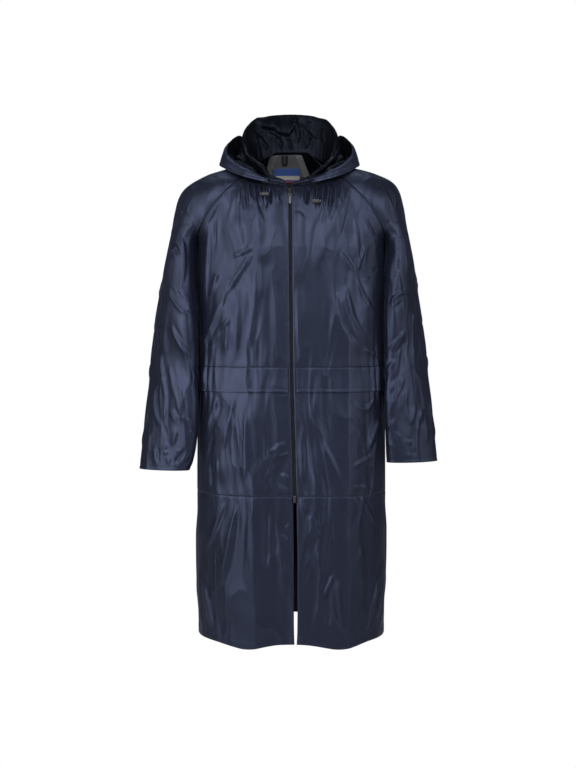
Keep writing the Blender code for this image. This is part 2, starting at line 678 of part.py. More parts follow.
def cell(stops, at):
    """The stop before a value, and how far the value lies on the way to the next."""
    place = max(i for i in range(len(stops) - 1) if stops[i] <= at)
    return place, (at - stops[place]) / (stops[place + 1] - stops[place])


def laid_on(rows, columns, corner, at_row, at_column):
    """Point on the flat faces between a panel's own corners, where those are moved by corner()."""
    row, up = cell(rows, at_row)
    column, across = cell(columns, at_column)
    low, high = ([corner(rows[r], columns[c]) for c in (column, column + 1)] for r in (row, row + 1))
    return low[0].lerp(low[1], across).lerp(high[0].lerp(high[1], across), up)


def make_waist_flaps(navy):
    """Flaps sewn into the waist seam, hanging over the middle fronts."""
    top = WIDTH_ROWS["middle"][-1]
    columns = body_columns(True)
    for side in (RIGHT, LEFT):
        first = share_at(True, side, top, FLAP_START[side])

        def place(level, share):
            lift = FLAP_LIFT * ease((top - level) / FLAP_HEIGHT) * (1 - 0.8 * ease((share - 0.55) * 3))
            return laid_on(WIDTH_ROWS["middle"], columns,
                           lambda row, column: body_point(True, side, row, column, WALL + GAP + lift),
                           level, share)
        cloth(f"waist_flap_{SIDE_NAME[side]}", navy, steps(top - FLAP_HEIGHT, top, 3),
              [first] + columns[1:-1] + [0.985], place, flip=side == RIGHT)


def make_sleeves(navy):
    rows = [CUFF_LEVEL, CUFF_LEVEL + 0.014] + steps(CUFF_LEVEL + 0.042, 0.0, 11) + steps(0.0, 1.0, 8)[1:]
    for side in (RIGHT, LEFT):

        def place(level, turn):
            if level > 0:
                turn = RAGLAN_SHARE + (1 - 2 * RAGLAN_SHARE) * turn
            return sleeve_point(side, level, turn)
        cloth(f"sleeve_{SIDE_NAME[side]}", navy, rows, steps(0.0, 1.0, 18), place,
              ring=True, flip=side == RIGHT)


def make_hood(navy):
    for side in (RIGHT, LEFT):
        cloth(f"hood_{SIDE_NAME[side]}", navy, HOOD_PATH, HOOD_COLUMNS + [HOOD_END[side]],
              lambda path, angle: hood_point(side, angle, path), wall=HOOD_WALL, flip=side == LEFT)
    cloth("hood_casing", navy, steps(0.0, 1.0, 3), steps(-1.0, 1.0, 36),
          lambda down, share: casing_point(share, down), wall=HOOD_WALL)


# ---------------------------------------------------------------- inside the neck

def inner_place(depth):
    """Places on the inside of the upper back, a depth further in than its inner side."""
    def corner(level, share):
        return back_surface(level, share, -(WALL + GAP + depth))
    return lambda level, share: laid_on(WIDTH_ROWS["upper"], back_columns(), corner, level, share)


def back_share(level, x):
    """Share across the whole back at a distance x from the middle."""
    return math.copysign(share_at(False, LEFT, level, abs(x)), x)


def make_neck_inside(mesh_grey, blue, black):
    rows = [level for level in WIDTH_ROWS["upper"][:-1] if level > 0.60] + [MESH_TOP]
    cloth("back_neck_mesh", mesh_grey, rows, back_columns()[1:-1], inner_place(0.0),
          wall=TRIM_WALL, flip=True)
    on_mesh = inner_place(TRIM_WALL + 2 * GAP)

    def label_place(level, x):
        return on_mesh(level, back_share(level, x))
    cloth("neck_label", blue, steps(LABEL_LEVELS[0], LABEL_LEVELS[1], 5), steps(LABEL_X[0], LABEL_X[1], 5),
          label_place, wall=TRIM_WALL, flip=True)

    def loop_place(along, across):
        """The loop's tape runs down, round and up again; across is from its middle line."""
        leg = LOOP_LENGTH - LOOP_RADIUS
        turn = LOOP_RADIUS * math.pi
        radius = LOOP_RADIUS + across
        if along < leg:
            x, down = -radius, along
        elif along < leg + turn:
            angle = (along - leg) / LOOP_RADIUS
            x, down = -radius * math.cos(angle), leg + radius * math.sin(angle)
        else:
            x, down = radius, 2 * leg + turn - along
        level = LOOP_TOP - down * LEVEL_PER_METRE
        return inner_place(TRIM_WALL + 2 * GAP)(level, back_share(level, LOOP_X + x))
    leg = LOOP_LENGTH - LOOP_RADIUS
    turn = LOOP_RADIUS * math.pi
    stops = steps(0.0, leg, 3)[:-1] + steps(leg, leg + turn, 8)[:-1] + steps(leg + turn, 2 * leg + turn, 3)
    cloth("hanger_loop", black, stops, [-LOOP_TAPE / 2, LOOP_TAPE / 2], loop_place,
          wall=TRIM_WALL, flip=True)


# ---------------------------------------------------------------- zip

def zip_line(level):
    """Point on the coat's outer surface over the zip's line, and the line's tilt there."""
    depth, z, _, _ = body_line(True, level)
    low, high = body_line(True, level - 0.02), body_line(True, level + 0.02)
    tilt = math.atan2(low[0] - high[0], high[1] - low[1])
    return Vector((read_table(FRONT_EDGE, z).zip_x, -depth, z)), tilt


def make_zip_tapes(tape_black):
    """Two tapes under the front edges, each with the raised row of its teeth."""
    rows = steps(ZIP_END_Z - ARMPIT_Z, 0.0, 9)[:-1] + steps(0.0, 0.985, 7)
    columns = [TEETH_HALF_GAP, TEETH_WIDTH, TEETH_WIDTH + 0.2 * MM, TAPE_WIDTH]
    for side in (RIGHT, LEFT):

        def place(level, off):
            middle, tilt = zip_line(level)
            edge = max(0.0, front_edge(side, middle.z) - side * middle.x - ZIP_HALF_OPEN)
            out = TEETH_HEIGHT if off <= TEETH_WIDTH else 0.0
            inward = WALL + 2 * GAP - out
            return middle + Vector((side * (off + edge), math.cos(tilt) * inward,
                                    -math.sin(tilt) * inward))
        cloth(f"zip_tape_{SIDE_NAME[side]}", tape_black, rows, columns, place,
              wall=TRIM_WALL, flip=side == RIGHT)


def level_of_height(z):
    """The level at which the centre front has a height."""
    low, high = ZIP_END_Z - ARMPIT_Z, 1.0
    for _ in range(30):
        middle = (low + high) / 2
        if body_line(True, middle)[1] < z:
            low = middle
        else:
            high = middle
    return middle


def make_zip_slider(metal):
    """Slider with its bridge, and the pull tab hanging on it by its eye."""
    on_zip, tilt = zip_line(level_of_height(SLIDER_Z))
    seat = guide("slider_seat", on_zip, (-tilt, 0, 0))
    face = SLIDER_OFF + SLIDER_SIZE[1]                      # from the coat to the slider's face
    slider = block("zip_slider", metal, (0, -SLIDER_OFF - SLIDER_SIZE[1] / 2, 0), SLIDER_SIZE,
                   0.8 * MM, seat)
    bar_y = -face - BRIDGE_ROOM - BRIDGE_BAR / 2
    post_y = (-face + BRIDGE_BAR + bar_y) / 2
    post_z = BRIDGE_HALF - BRIDGE_BAR / 2
    post_depth = -bar_y - face + BRIDGE_BAR
    for name, place, size in (
            ("bridge_bar", (0, bar_y, 0), (BRIDGE_WIDTH, BRIDGE_BAR, 2 * BRIDGE_HALF)),
            ("bridge_top", (0, post_y, post_z), (BRIDGE_WIDTH, post_depth, BRIDGE_BAR)),
            ("bridge_foot", (0, post_y, -post_z), (BRIDGE_WIDTH, post_depth, BRIDGE_BAR))):
        combine(slider, block(name, metal, place, size, 0.1 * MM, seat), "UNION")
    pivot = guide("pull_tab_pivot", seat.matrix_basis @ Vector((0, -face - BRIDGE_ROOM / 2, 0)),
                  (TAB_LEAN - tilt, 0, 0))
    tab = block("zip_pull_tab", metal, (0, 0, TAB_BAR / 2 - TAB_SIZE[2] / 2), TAB_SIZE, 0.4 * MM, pivot)
    eye = block("pull_tab_eye", metal, (0, 0, -TAB_BAR / 2 - TAB_EYE[2] / 2), TAB_EYE, 0.3 * MM, pivot)
    combine(tab, eye, "DIFFERENCE")


def make_bottom_box(metal):
    on_zip, tilt = zip_line(BOTTOM_BOX_Z - ARMPIT_Z)
    seat = guide("bottom_box_seat", on_zip, (-tilt, 0, 0))
    block("zip_bottom_box", metal, (0, -GAP - BOTTOM_BOX[1] / 2, 0), BOTTOM_BOX, 0.7 * MM, seat)


# ---------------------------------------------------------------- drawcord

def smooth_route(points, spacing):
    """Points at a spacing along a smooth curve through a route's points."""
    rows, run = [], 0.0
    for place, point in enumerate(points):
        if place:
            run += (Vector(point) - Vector(points[place - 1])).length
        rows.append(Point(run, *point))
    count = round(run / spacing)
    return [read_table(rows, at) for at in steps(0.0, run, count)]


def make_drawcords(cord_black, metal_grey, lock_grey):
    """Each end leaves its casing by an eyelet and hangs down through its cord lock."""
    for side in (RIGHT, LEFT):
        name = SIDE_NAME[side]
        curve = bpy.data.curves.new(f"drawcord_{name}", "CURVE")
        curve.dimensions = "3D"
        curve.bevel_depth = CORD_RADIUS
        curve.bevel_resolution = 1
        curve.use_fill_caps = True
        spline = curve.splines.new("POLY")
        route = smooth_route(CORD_ROUTE[side], 3 * CORD_RADIUS)
        spline.points.add(len(route) - 1)
        for point, stop in zip(spline.points, route):
            point.co = (stop.x, stop.y, stop.z, 1)
        add_object(f"drawcord_{name}", curve, cord_black)

        start = Vector(CORD_ROUTE[side][0])
        leave = (Vector(CORD_ROUTE[side][1]) - start).normalized()
        ring = guide(f"eyelet_seat_{name}", start + leave * EYELET[2] / 2,
                     leave.to_track_quat("Z", "Y").to_euler())
        inner, outer, half = EYELET[0], EYELET[1], EYELET[2] / 2
        turned(f"eyelet_{name}", metal_grey,
               [(inner, half), (outer - half, half), (outer, 0.0), (outer - half, -half), (inner, -half)],
               ring, 12)

        above, below = Vector(CORD_ROUTE[side][LOCK_AT - 1]), Vector(CORD_ROUTE[side][LOCK_AT + 1])
        seat = guide(f"cord_lock_seat_{name}", CORD_ROUTE[side][LOCK_AT],
                     (above - below).to_track_quat("Z", "Y").to_euler())
        barrel = guide(f"cord_lock_barrel_{name}", (0, 0, 0), (0, -side * math.radians(90), 0))
        barrel.parent = seat
        lock = turned(f"cord_lock_{name}", lock_grey, LOCK_PROFILE, barrel, 14)
        hole_mesh = bmesh.new()
        bmesh.ops.create_cone(hole_mesh, cap_ends=True, segments=12, radius1=LOCK_HOLE, radius2=LOCK_HOLE,
                              depth=20 * MM)
        hole = add_object(f"cord_hole_{name}", mesh_from(f"cord_hole_{name}", hole_mesh), lock_grey)
        hole.parent = seat
        combine(lock, hole, "DIFFERENCE")


def main():
    for old in list(bpy.data.objects):
        bpy.data.objects.remove(old)
    for name in (COLLECTION, CUTTERS):
        bpy.context.scene.collection.children.link(bpy.data.collections.new(name))
    navy = material("navy nylon", (0.016, 0.020, 0.055), 0.42)
    grey_mesh = material("grey mesh", (0.19, 0.19, 0.20), 0.85)
    blue = material("blue label", (0.04, 0.09, 0.33), 0.60)
    black = material("black tape", (0.012, 0.012, 0.014), 0.70)
    steel = material("dark steel", (0.10, 0.10, 0.11), 0.35, 1.0)
    nickel = material("nickel", (0.50, 0.50, 0.52), 0.25, 1.0)
    lock_grey = material("grey plastic", (0.09, 0.09, 0.10), 0.45)
    make_body(navy)
    make_waist_flaps(navy)
    make_sleeves(navy)
    make_hood(navy)
    make_neck_inside(grey_mesh, blue, black)
    make_zip_tapes(black)
    make_zip_slider(steel)
    make_bottom_box(nickel)
    make_drawcords(black, steel, lock_grey)


main()
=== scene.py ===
"""Hooded raincoat: the finished look of a long nylon coat that stands open as worn.

Metres, +Z up. X runs to the wearer's left and -Y is the coat's front. Every piece
of cloth is laid over the coat's own surface, which is worked out from the same
sizes as the solid frame, and then creased, gathered, seamed and stitched.

A level below zero is a drop in metres under the armpit; from 0 to 1 it climbs the
raglan seam to the neckline. A share runs across a piece from the coat's centre
line to its side or raglan seam. A turn runs round a sleeve from its inner side.
"""
import math
from collections import namedtuple
from functools import lru_cache
from itertools import product

import bmesh
import bpy
from mathutils import Matrix, Vector, noise


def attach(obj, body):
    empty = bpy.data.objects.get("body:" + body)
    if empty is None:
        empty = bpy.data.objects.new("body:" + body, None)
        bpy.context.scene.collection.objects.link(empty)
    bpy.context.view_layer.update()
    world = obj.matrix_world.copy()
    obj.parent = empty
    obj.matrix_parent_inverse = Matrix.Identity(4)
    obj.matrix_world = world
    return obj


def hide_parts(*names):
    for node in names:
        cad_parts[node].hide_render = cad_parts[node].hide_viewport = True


bl_info = {
    "name": "Hooded Raincoat",
    "version": (1, 0, 0),
    "blender": (4, 5, 0),
    "location": "View3D > Sidebar > Raincoat",
    "description": "Builds a long nylon raincoat with its zip, drawcords and stitching",
    "category": "Object",
}

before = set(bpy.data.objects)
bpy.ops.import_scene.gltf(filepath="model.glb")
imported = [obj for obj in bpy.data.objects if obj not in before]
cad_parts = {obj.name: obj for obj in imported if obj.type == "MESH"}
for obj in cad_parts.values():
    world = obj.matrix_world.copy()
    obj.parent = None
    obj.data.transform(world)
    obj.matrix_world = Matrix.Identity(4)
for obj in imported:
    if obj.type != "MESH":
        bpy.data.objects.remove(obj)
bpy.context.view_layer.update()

MM = 0.001
RIGHT, LEFT = -1, 1                     # the wearer's sides, as the sign of X
SIDES = ((RIGHT, "right"), (LEFT, "left"))

# Sizes of the coat's cut, as in its frame
GAP = 0.3 * MM                          # between neighbouring pieces
FRAME_WALL = 1.5 * MM                   # the solid frame's coat cloth
TRIM_WALL = 1.0 * MM
ARMPIT_Z, WAIST_SEAM_Z, LOWER_SEAM_Z, HEM_Z = -0.200, -0.473, -0.762, -1.090
HEM_DROOP = 0.012
DROOP_X, DROOP_WIDTH, DROOP_TOP_Z = 0.105, 0.050, -0.900
FLAP_HEIGHT, FLAP_LIFT = 0.056, 2 * MM
FLAP_START = {RIGHT: 0.001, LEFT: 0.011}
ZIP_END_Z = -0.768
CREASE_HEIGHT, CREASE_WIDTH = 0.0095, 0.046
GATHERS = {True: 6, False: 4}           # on each half of the front and of the back
GATHER_DEPTH, GATHER_REACH = 0.0028, 0.070
GATHER_START, GATHER_END = 0.46, 0.96
ARM_OUT = {RIGHT: 0.015, LEFT: 0.001}
ARM_DROP = {RIGHT: 0.018, LEFT: 0.0}
ARM_DEPTH, GIRTH, CUFF_LEVEL = 0.085, 0.40, -0.492
SEAM_CLEAR = 0.25 * MM
SIDE_SHARE, SEAM_SHARE, RAGLAN_SHARE = 0.00004, 0.0008, 0.0010
BODY_SQUARENESS, NECK_SQUARENESS = 2.7, 2.1

Body = namedtuple("Body", "z half_width front back")
BODY = [
    Body(-1.110, 0.2165, 0.169, 0.166),
    Body(-0.950, 0.2195, 0.167, 0.163),
    Body(-0.762, 0.2205, 0.161, 0.158),
    Body(-0.600, 0.2200, 0.152, 0.150),
    Body(-0.473, 0.2190, 0.145, 0.145),
    Body(-0.350, 0.2190, 0.143, 0.143),
    Body(-0.200, 0.2180, 0.134, 0.136),
]

# The raglan seams, the shoulder ridge and the centre lines, from armpit to neckline
Point = namedtuple("Point", "level x y z")
FRONT_RAGLAN = [
    Point(0.00, 0.2180, 0.000, -0.200),
    Point(0.12, 0.2170, -0.046, -0.180),
    Point(0.30, 0.2095, -0.080, -0.155),
    Point(0.50, 0.1876, -0.099, -0.118),
    Point(0.65, 0.1620, -0.099, -0.082),
    Point(0.80, 0.1310, -0.084, -0.051),
    Point(0.90, 0.1090, -0.058, -0.034),
    Point(1.00, 0.0860, -0.022, -0.020),
]
BACK_RAGLAN = [
    Point(0.00, 0.2180, 0.000, -0.200),
    Point(0.12, 0.2170, 0.048, -0.178),
    Point(0.30, 0.2080, 0.083, -0.150),
    Point(0.50, 0.1820, 0.106, -0.108),
    Point(0.65, 0.1500, 0.113, -0.066),
    Point(0.80, 0.1100, 0.110, -0.026),
    Point(0.90, 0.0760, 0.096, 0.006),
    Point(1.00, 0.0390, 0.072, 0.040),
]
SHOULDER_RIDGE = [
    Point(0.00, 0.2800, -0.001, -0.200),
    Point(0.12, 0.2755, 0.000, -0.178),
    Point(0.30, 0.2705, 0.000, -0.148),
    Point(0.50, 0.2635, 0.000, -0.100),
    Point(0.65, 0.2450, 0.002, -0.050),
    Point(0.80, 0.1980, 0.004, -0.022),
    Point(0.90, 0.1500, 0.005, -0.008),
    Point(1.00, 0.0900, 0.006, 0.004),
]
CENTRE_FRONT = [
    Point(0.00, 0.0, -0.134, -0.200),
    Point(0.30, 0.0, -0.127, -0.156),
    Point(0.50, 0.0, -0.119, -0.128),
    Point(0.65, 0.0, -0.110, -0.103),
    Point(0.80, 0.0, -0.099, -0.081),
    Point(0.90, 0.0, -0.088, -0.067),
    Point(1.00, 0.0, -0.076, -0.055),
]
CENTRE_BACK = [
    Point(0.00, 0.0, 0.136, -0.200),
    Point(0.30, 0.0, 0.134, -0.142),
    Point(0.50, 0.0, 0.131, -0.100),
    Point(0.65, 0.0, 0.125, -0.058),
    Point(0.80, 0.0, 0.114, -0.018),
    Point(0.90, 0.0, 0.097, 0.014),
    Point(1.00, 0.0, 0.074, 0.041),
]

# The front edges either side of the zip; the gaps are from the zip's line
Edge = namedtuple("Edge", "z zip_x right_gap left_gap")
FRONT_EDGE = [
    Edge(-1.110, 0.0090, 0.0012, 0.0012),
    Edge(-1.060, 0.0092, 0.0034, 0.0038),
    Edge(-0.900, 0.0090, 0.0042, 0.0042),
    Edge(-0.768, 0.0074, 0.0038, 0.0038),
    Edge(-0.480, 0.0006, 0.0038, 0.0038),
    Edge(-0.110, -0.0027, 0.0038, 0.0038),
    Edge(-0.090, -0.0028, 0.0038, 0.0038),
    Edge(-0.050, -0.0055, 0.0080, 0.0080),
]

# Sleeve rings under the armpit. The flattened tube turns as it goes down, so
# that it faces sideways at the armpit and forwards at the cuff.
Ring = namedtuple("Ring", "level x y long_half short_half turn")
SLEEVE = {
    RIGHT: [
        Ring(-0.492, 0.2930, -0.066, 0.0625, 0.0300, 68.0),
        Ring(-0.470, 0.2880, -0.064, 0.0673, 0.0310, 65.0),
        Ring(-0.420, 0.2812, -0.060, 0.0735, 0.0330, 58.0),
        Ring(-0.350, 0.2775, -0.053, 0.0765, 0.0360, 50.0),
        Ring(-0.279, 0.2722, -0.045, 0.0764, 0.0380, 41.0),
        Ring(-0.189, 0.2678, -0.034, 0.0828, 0.0400, 29.0),
        Ring(-0.126, 0.2648, -0.022, 0.0878, 0.0420, 21.0),
        Ring(-0.043, 0.2552, -0.006, 0.0850, 0.0341, 9.0),
        Ring(0.000, 0.24925, -0.001, 0.0850, 0.03075, 2.0),
    ],
    LEFT: [
        Ring(-0.492, 0.2785, -0.066, 0.0636, 0.0300, 68.0),
        Ring(-0.420, 0.2742, -0.060, 0.0665, 0.0310, 58.0),
        Ring(-0.350, 0.2710, -0.053, 0.0684, 0.0330, 50.0),
        Ring(-0.279, 0.2655, -0.045, 0.0671, 0.0340, 41.0),
        Ring(-0.189, 0.2602, -0.034, 0.0725, 0.0335, 29.0),
        Ring(-0.126, 0.2567, -0.022, 0.0807, 0.0330, 21.0),
        Ring(-0.043, 0.2535, -0.006, 0.0830, 0.0323, 9.0),
        Ring(0.000, 0.24925, -0.001, 0.0850, 0.03075, 2.0),
    ],
}

# The hood as it lies: from the neck seam it stands up to a ridge, falls into a
# trough and rises to its outer rim, where its face edge is turned out and down.
# One row for each direction from straight back, in degrees; r is the distance
# from the neck's axis.
Hood = namedtuple("Hood", "angle ridge_r ridge_z trough_r trough_z rim_r rim_z hem_r hem_z")
HOOD = [
    Hood(-30, 0.100, 0.129, 0.166, -0.105, 0.181, 0.078, 0.200, 0.036),
    Hood(0, 0.095, 0.132, 0.160, -0.145, 0.186, 0.074, 0.206, 0.030),
    Hood(30, 0.100, 0.129, 0.166, -0.105, 0.181, 0.078, 0.200, 0.036),
    Hood(41, 0.1065, 0.124, 0.171, -0.046, 0.172, 0.083, 0.191, 0.037),
    Hood(52, 0.113, 0.117, 0.156, 0.000, 0.160, 0.084, 0.179, 0.036),
    Hood(70, 0.116, 0.084, 0.138, 0.016, 0.152, 0.065, 0.172, 0.018),
    Hood(84, 0.109, 0.050, 0.130, 0.012, 0.151, 0.045, 0.168, 0.004),
    Hood(104, 0.099, 0.014, 0.120, 0.000, 0.1475, 0.014, 0.161, -0.012),
    Hood(118, 0.094, -0.003, 0.111, -0.018, 0.1330, -0.010, 0.146, -0.028),
    Hood(130, 0.091, -0.013, 0.103, -0.030, 0.1170, -0.024, 0.129, -0.040),
    Hood(141, 0.0875, -0.024, 0.094, -0.040, 0.0990, -0.038, 0.106, -0.048),
    Hood(152, 0.0850, -0.034, 0.0885, -0.047, 0.0920, -0.043, 0.096, -0.052),
    Hood(176, 0.0800, -0.050, 0.0828, -0.056, 0.0856, -0.051, 0.090, -0.056),
]
HOOD_LEAN = {RIGHT: 1.02, LEFT: 0.97}   # the hood lies a little to the wearer's right
HOOD_END = {RIGHT: 170.0, LEFT: 177.8}  # direction of the hood's ends at the front edges
HOOD_SEAM_GAP = 0.2 * MM
HOOD_BEND = 0.010                       # how softly the hanging bag turns at its lowest line
HOOD_RIDGE, HOOD_TROUGH, HOOD_RIM = 2.0, 4.0, 6.0  # along the hood's path, which starts at 0 at its seam
HOOD_TUCK, CASING_TUCK = 1.5 * MM, 1.2 * MM
CASING_END = 147.0
CASING_STANDOFF = 3.0 * MM              # from the hood's outer side to the turned-out edge

# Inside the neck
MESH_LOW, MESH_TOP = 0.61, 0.98         # levels, up to just under the neck seam
LABEL_LEVELS = (0.725, 0.875)
LABEL_X = (-0.043, 0.021)
LOOP_X, LOOP_TOP, LOOP_LENGTH = -0.016, 0.982, 0.029
LOOP_RADIUS, LOOP_TAPE = 0.0046, 0.0052
LOOP_LEG, LOOP_BEND = LOOP_LENGTH - LOOP_RADIUS, LOOP_RADIUS * math.pi
LEVEL_PER_METRE = 2.8                   # down the back from the neck seam

# Zip
ZIP_HALF_OPEN = 3.8 * MM                # the front edges' gap from the zip's line where it is closed
TEETH_HALF_GAP = 0.15 * MM
TAPE_WIDTH = 15 * MM
TAPE_COLUMNS = (1.5 * MM, 3 * MM, 5 * MM, 8 * MM, 11.5 * MM)
ZIP_TOP = 0.985                         # level

# Drawcord: the route of each free end from its eyelet down over the chest
CORD_RADIUS = 1.4 * MM
CORD_ROUTE = {
    RIGHT: [
        (-0.0612, -0.0835, -0.0490), (-0.0614, -0.0870, -0.0500), (-0.0619, -0.0925, -0.0560),
        (-0.0612, -0.0995, -0.0660), (-0.0597, -0.1060, -0.0757), (-0.0591, -0.1082, -0.0796),
        (-0.0585, -0.1104, -0.0835), (-0.0560, -0.1125, -0.0900), (-0.0542, -0.1150, -0.0960),
        (-0.0552, -0.1182, -0.1040), (-0.0580, -0.1210, -0.1125),
    ],
    LEFT: [
        (0.0523, -0.0835, -0.0500), (0.0525, -0.0870, -0.0510), (0.0530, -0.0925, -0.0570),
        (0.0540, -0.1000, -0.0680), (0.0550, -0.1118, -0.0905), (0.0551, -0.1148, -0.0965),
        (0.0550, -0.1176, -0.1025), (0.0546, -0.1190, -0.1070), (0.0544, -0.1200, -0.1110),
    ],
}

# Soft folds and drag lines on the fronts and the back: from one end to the
# other in x and z, how wide and how high.
Fold = namedtuple("Fold", "x0 z0 x1 z1 width height")
FRONT_FOLDS = [
    Fold(-0.150, -0.110, -0.070, -0.330, 0.022, 0.0060),
    Fold(-0.100, -0.080, -0.060, -0.250, 0.016, 0.0045),
    Fold(-0.190, -0.200, -0.120, -0.440, 0.024, 0.0060),
    Fold(0.115, -0.085, 0.060, -0.260, 0.018, 0.0050),
    Fold(0.165, -0.130, 0.100, -0.400, 0.024, 0.0060),
    Fold(0.185, -0.260, 0.150, -0.450, 0.020, 0.0050),
    Fold(-0.150, -0.560, -0.160, -0.740, 0.022, 0.0050),
    Fold(-0.150, -0.800, -0.140, -1.040, 0.026, 0.0060),
    Fold(0.070, -0.600, 0.060, -1.000, 0.026, 0.0045),
]
BACK_FOLDS = [
    Fold(-0.130, -0.130, -0.080, -0.400, 0.026, 0.0060),
    Fold(0.130, -0.130, 0.080, -0.400, 0.026, 0.0060),
    Fold(0.000, -0.520, 0.010, -1.000, 0.030, 0.0050),
    Fold(-0.120, -0.560, -0.130, -1.050, 0.028, 0.0060),
    Fold(0.120, -0.560, 0.130, -1.050, 0.028, 0.0060),
]
PRESS_CREASES = {                       # down the fronts, to the hem
    RIGHT: Fold(-0.092, -0.520, -0.079, -1.110, CREASE_WIDTH, CREASE_HEIGHT),
    LEFT: Fold(0.128, -0.280, 0.126, -1.110, CREASE_WIDTH, CREASE_HEIGHT),
}
# Sleeve folds run from one end to the other in turn (share round the sleeve) and level
ArmFold = namedtuple("ArmFold", "turn0 level0 turn1 level1 width height")
ARM_FOLDS = [
    ArmFold(0.22, 0.20, 0.30, -0.30, 0.045, 0.0060),
    ArmFold(0.40, 0.10, 0.42, -0.24, 0.040, 0.0050),
    ArmFold(0.16, -0.20, 0.44, -0.27, 0.035, -0.0055),
    ArmFold(0.14, -0.30, 0.36, -0.40, 0.040, 0.0055),
    ArmFold(0.62, 0.10, 0.66, -0.36, 0.045, 0.0060),
    ArmFold(0.80, -0.02, 0.76, -0.30, 0.045, 0.0050),
]

LINES = {
    "front raglan": FRONT_RAGLAN, "back raglan": BACK_RAGLAN, "shoulder ridge": SHOULDER_RIDGE,
    "centre front": CENTRE_FRONT, "centre back": CENTRE_BACK,
}

# Each cloth's finish outside and inside, the slot of its material, and its thickness
Cloth = namedtuple("Cloth", "finish inner slot wall")
NYLON = Cloth("navy nylon", "coated inside with painted shade", "navy_nylon", 0.8 * MM)
TURNED_NYLON = NYLON._replace(inner="navy nylon")
MESH = Cloth("grey mesh", "grey mesh", "grey_mesh", 0.6 * MM)
LABEL = Cloth("blue label", "blue label", "blue_label", 0.7 * MM)
LOOP = Cloth("black tape", "black tape", "black_tape", 0.8 * MM)
ZIP_TAPE = Cloth("zip tape", "zip tape", "black_tape", 0.6 * MM)

# Cloth as it is sewn
EDGE_STOPS = (0.8 * MM, 2.0 * MM, 3.4 * MM, 5.0 * MM, 7.0 * MM, 9.5 * MM, 13.0 * MM)
SEAM_DIP, SEAM_SOFT = 0.6 * MM, 2.4 * MM
PUCKER, PUCKER_REACH = 0.9 * MM, 11 * MM
HEM_FOLD = 0.35 * MM                    # how far a turned hem stands up over its stitch line
HEM_DIP, HEM_DIP_WIDTH = 0.5 * MM, 1.3 * MM
HEM_PUCKER, HEM_PUCKER_REACH = 0.6 * MM, 6 * MM
EDGE_REACH = 40 * MM                    # an edge has no effect on the cloth beyond this
PRESSED_REACH, PRESSED_SHARE = 16 * MM, 0.15  # creases sink to this share of their height at an edge
SEAM_INSET = 3 * MM                     # of the stitches beside a seam
STITCH_PITCH, STITCH = 3.2 * MM, (1.15 * MM, 0.30 * MM, 0.22 * MM)
STITCH_RISE = 0.08 * MM                 # of a stitch's middle over the cloth
TOOTH_PITCH, TOOTH_BEVEL = 2.1 * MM, 0.25 * MM
TOOTH = (2.9 * MM, 1.15 * MM, 1.5 * MM)  # across the tape, along it and deep
HEM_INSET = {"cuff": 7 * MM, "hem": 15 * MM, "flap": 7 * MM, "front": 4.5 * MM, "casing": 7 * MM}
YOKE_HEIGHT = 0.25                      # rise of the shoulder from the armpit to the neckline
ARMPIT_LEVELS = [-9 * MM, -4.5 * MM]    # rows just under the armpit, in place of closer ones
ARMPIT_CLEAR, YOKE_CLEAR = -13 * MM, 0.03
SMOOTH = 0.1 * MM                       # height of cloth that another piece presses smooth
BESIDE_X, BESIDE_Z = 0.195, -0.715      # further out and up, a sleeve hangs beside the body
UNDER_ARM, UNDER_ARM_HALF, UNDER_ARM_HEIGHT = -0.062, 0.036, 3.6 * MM  # the bulge of a sleeve's inner side
ROUNDED, ROUNDED_HALF, ROUNDED_STEP = 0.035, 0.095, 15 * MM  # over the armpit, where a sleeve is rounded off
LOWER_ON_RIGHT = 17 * MM                # drop of the side's creases on the wearer's right
OTHER_FACE_DROP = 12 * MM               # of the creases on the back, from those on the front

# How high the waves, gathers and small folds stand, and the gathers' pitch
SLOW_WAVE, QUICK_WAVE = 1.3 * MM, 0.35 * MM
NECK_GATHER, NECK_PITCH = 1.2 * MM, 15 * MM
RIM_GATHER, RIM_PITCH = 1.3 * MM, 11 * MM
STAND_FOLD, STAND_WRINKLE = 1.6 * MM, 0.8 * MM
LOBE_FOLD, LOBE_WRINKLE, END_FOLD = 2.0 * MM, 1.6 * MM, 2.4 * MM
CASING_RUCHE, CASING_PITCH = 0.9 * MM, 9 * MM
END_RUCHE, END_PITCH = 2.0 * MM, 6.5 * MM
HOOD_RADIUS = 0.10                      # about the hood's, for lengths of its gathers round it
FLOOR_Z = -1.50

# Rough lengths of the pieces along their rows and columns, for the number of their mesh cells
HALF_BODY, FLAP_WIDTH = 0.30, 0.27
HOOD_STAND, HOOD_FALL, HOOD_RISE, HOOD_ROUND = 0.13, 0.21, 0.20, 0.36
CASING_SIZE = (0.80, 0.048)
MESH_SIZE = (0.14, 0.125)
LABEL_SIZE = (0.064, 0.055)

Crease = namedtuple("Crease", "x0 z0 x1 z1 bend width height")


def creases(*rows):
    """Creases from rows in millimetres."""
    return [Crease(*(value * MM for value in row)) for row in rows]


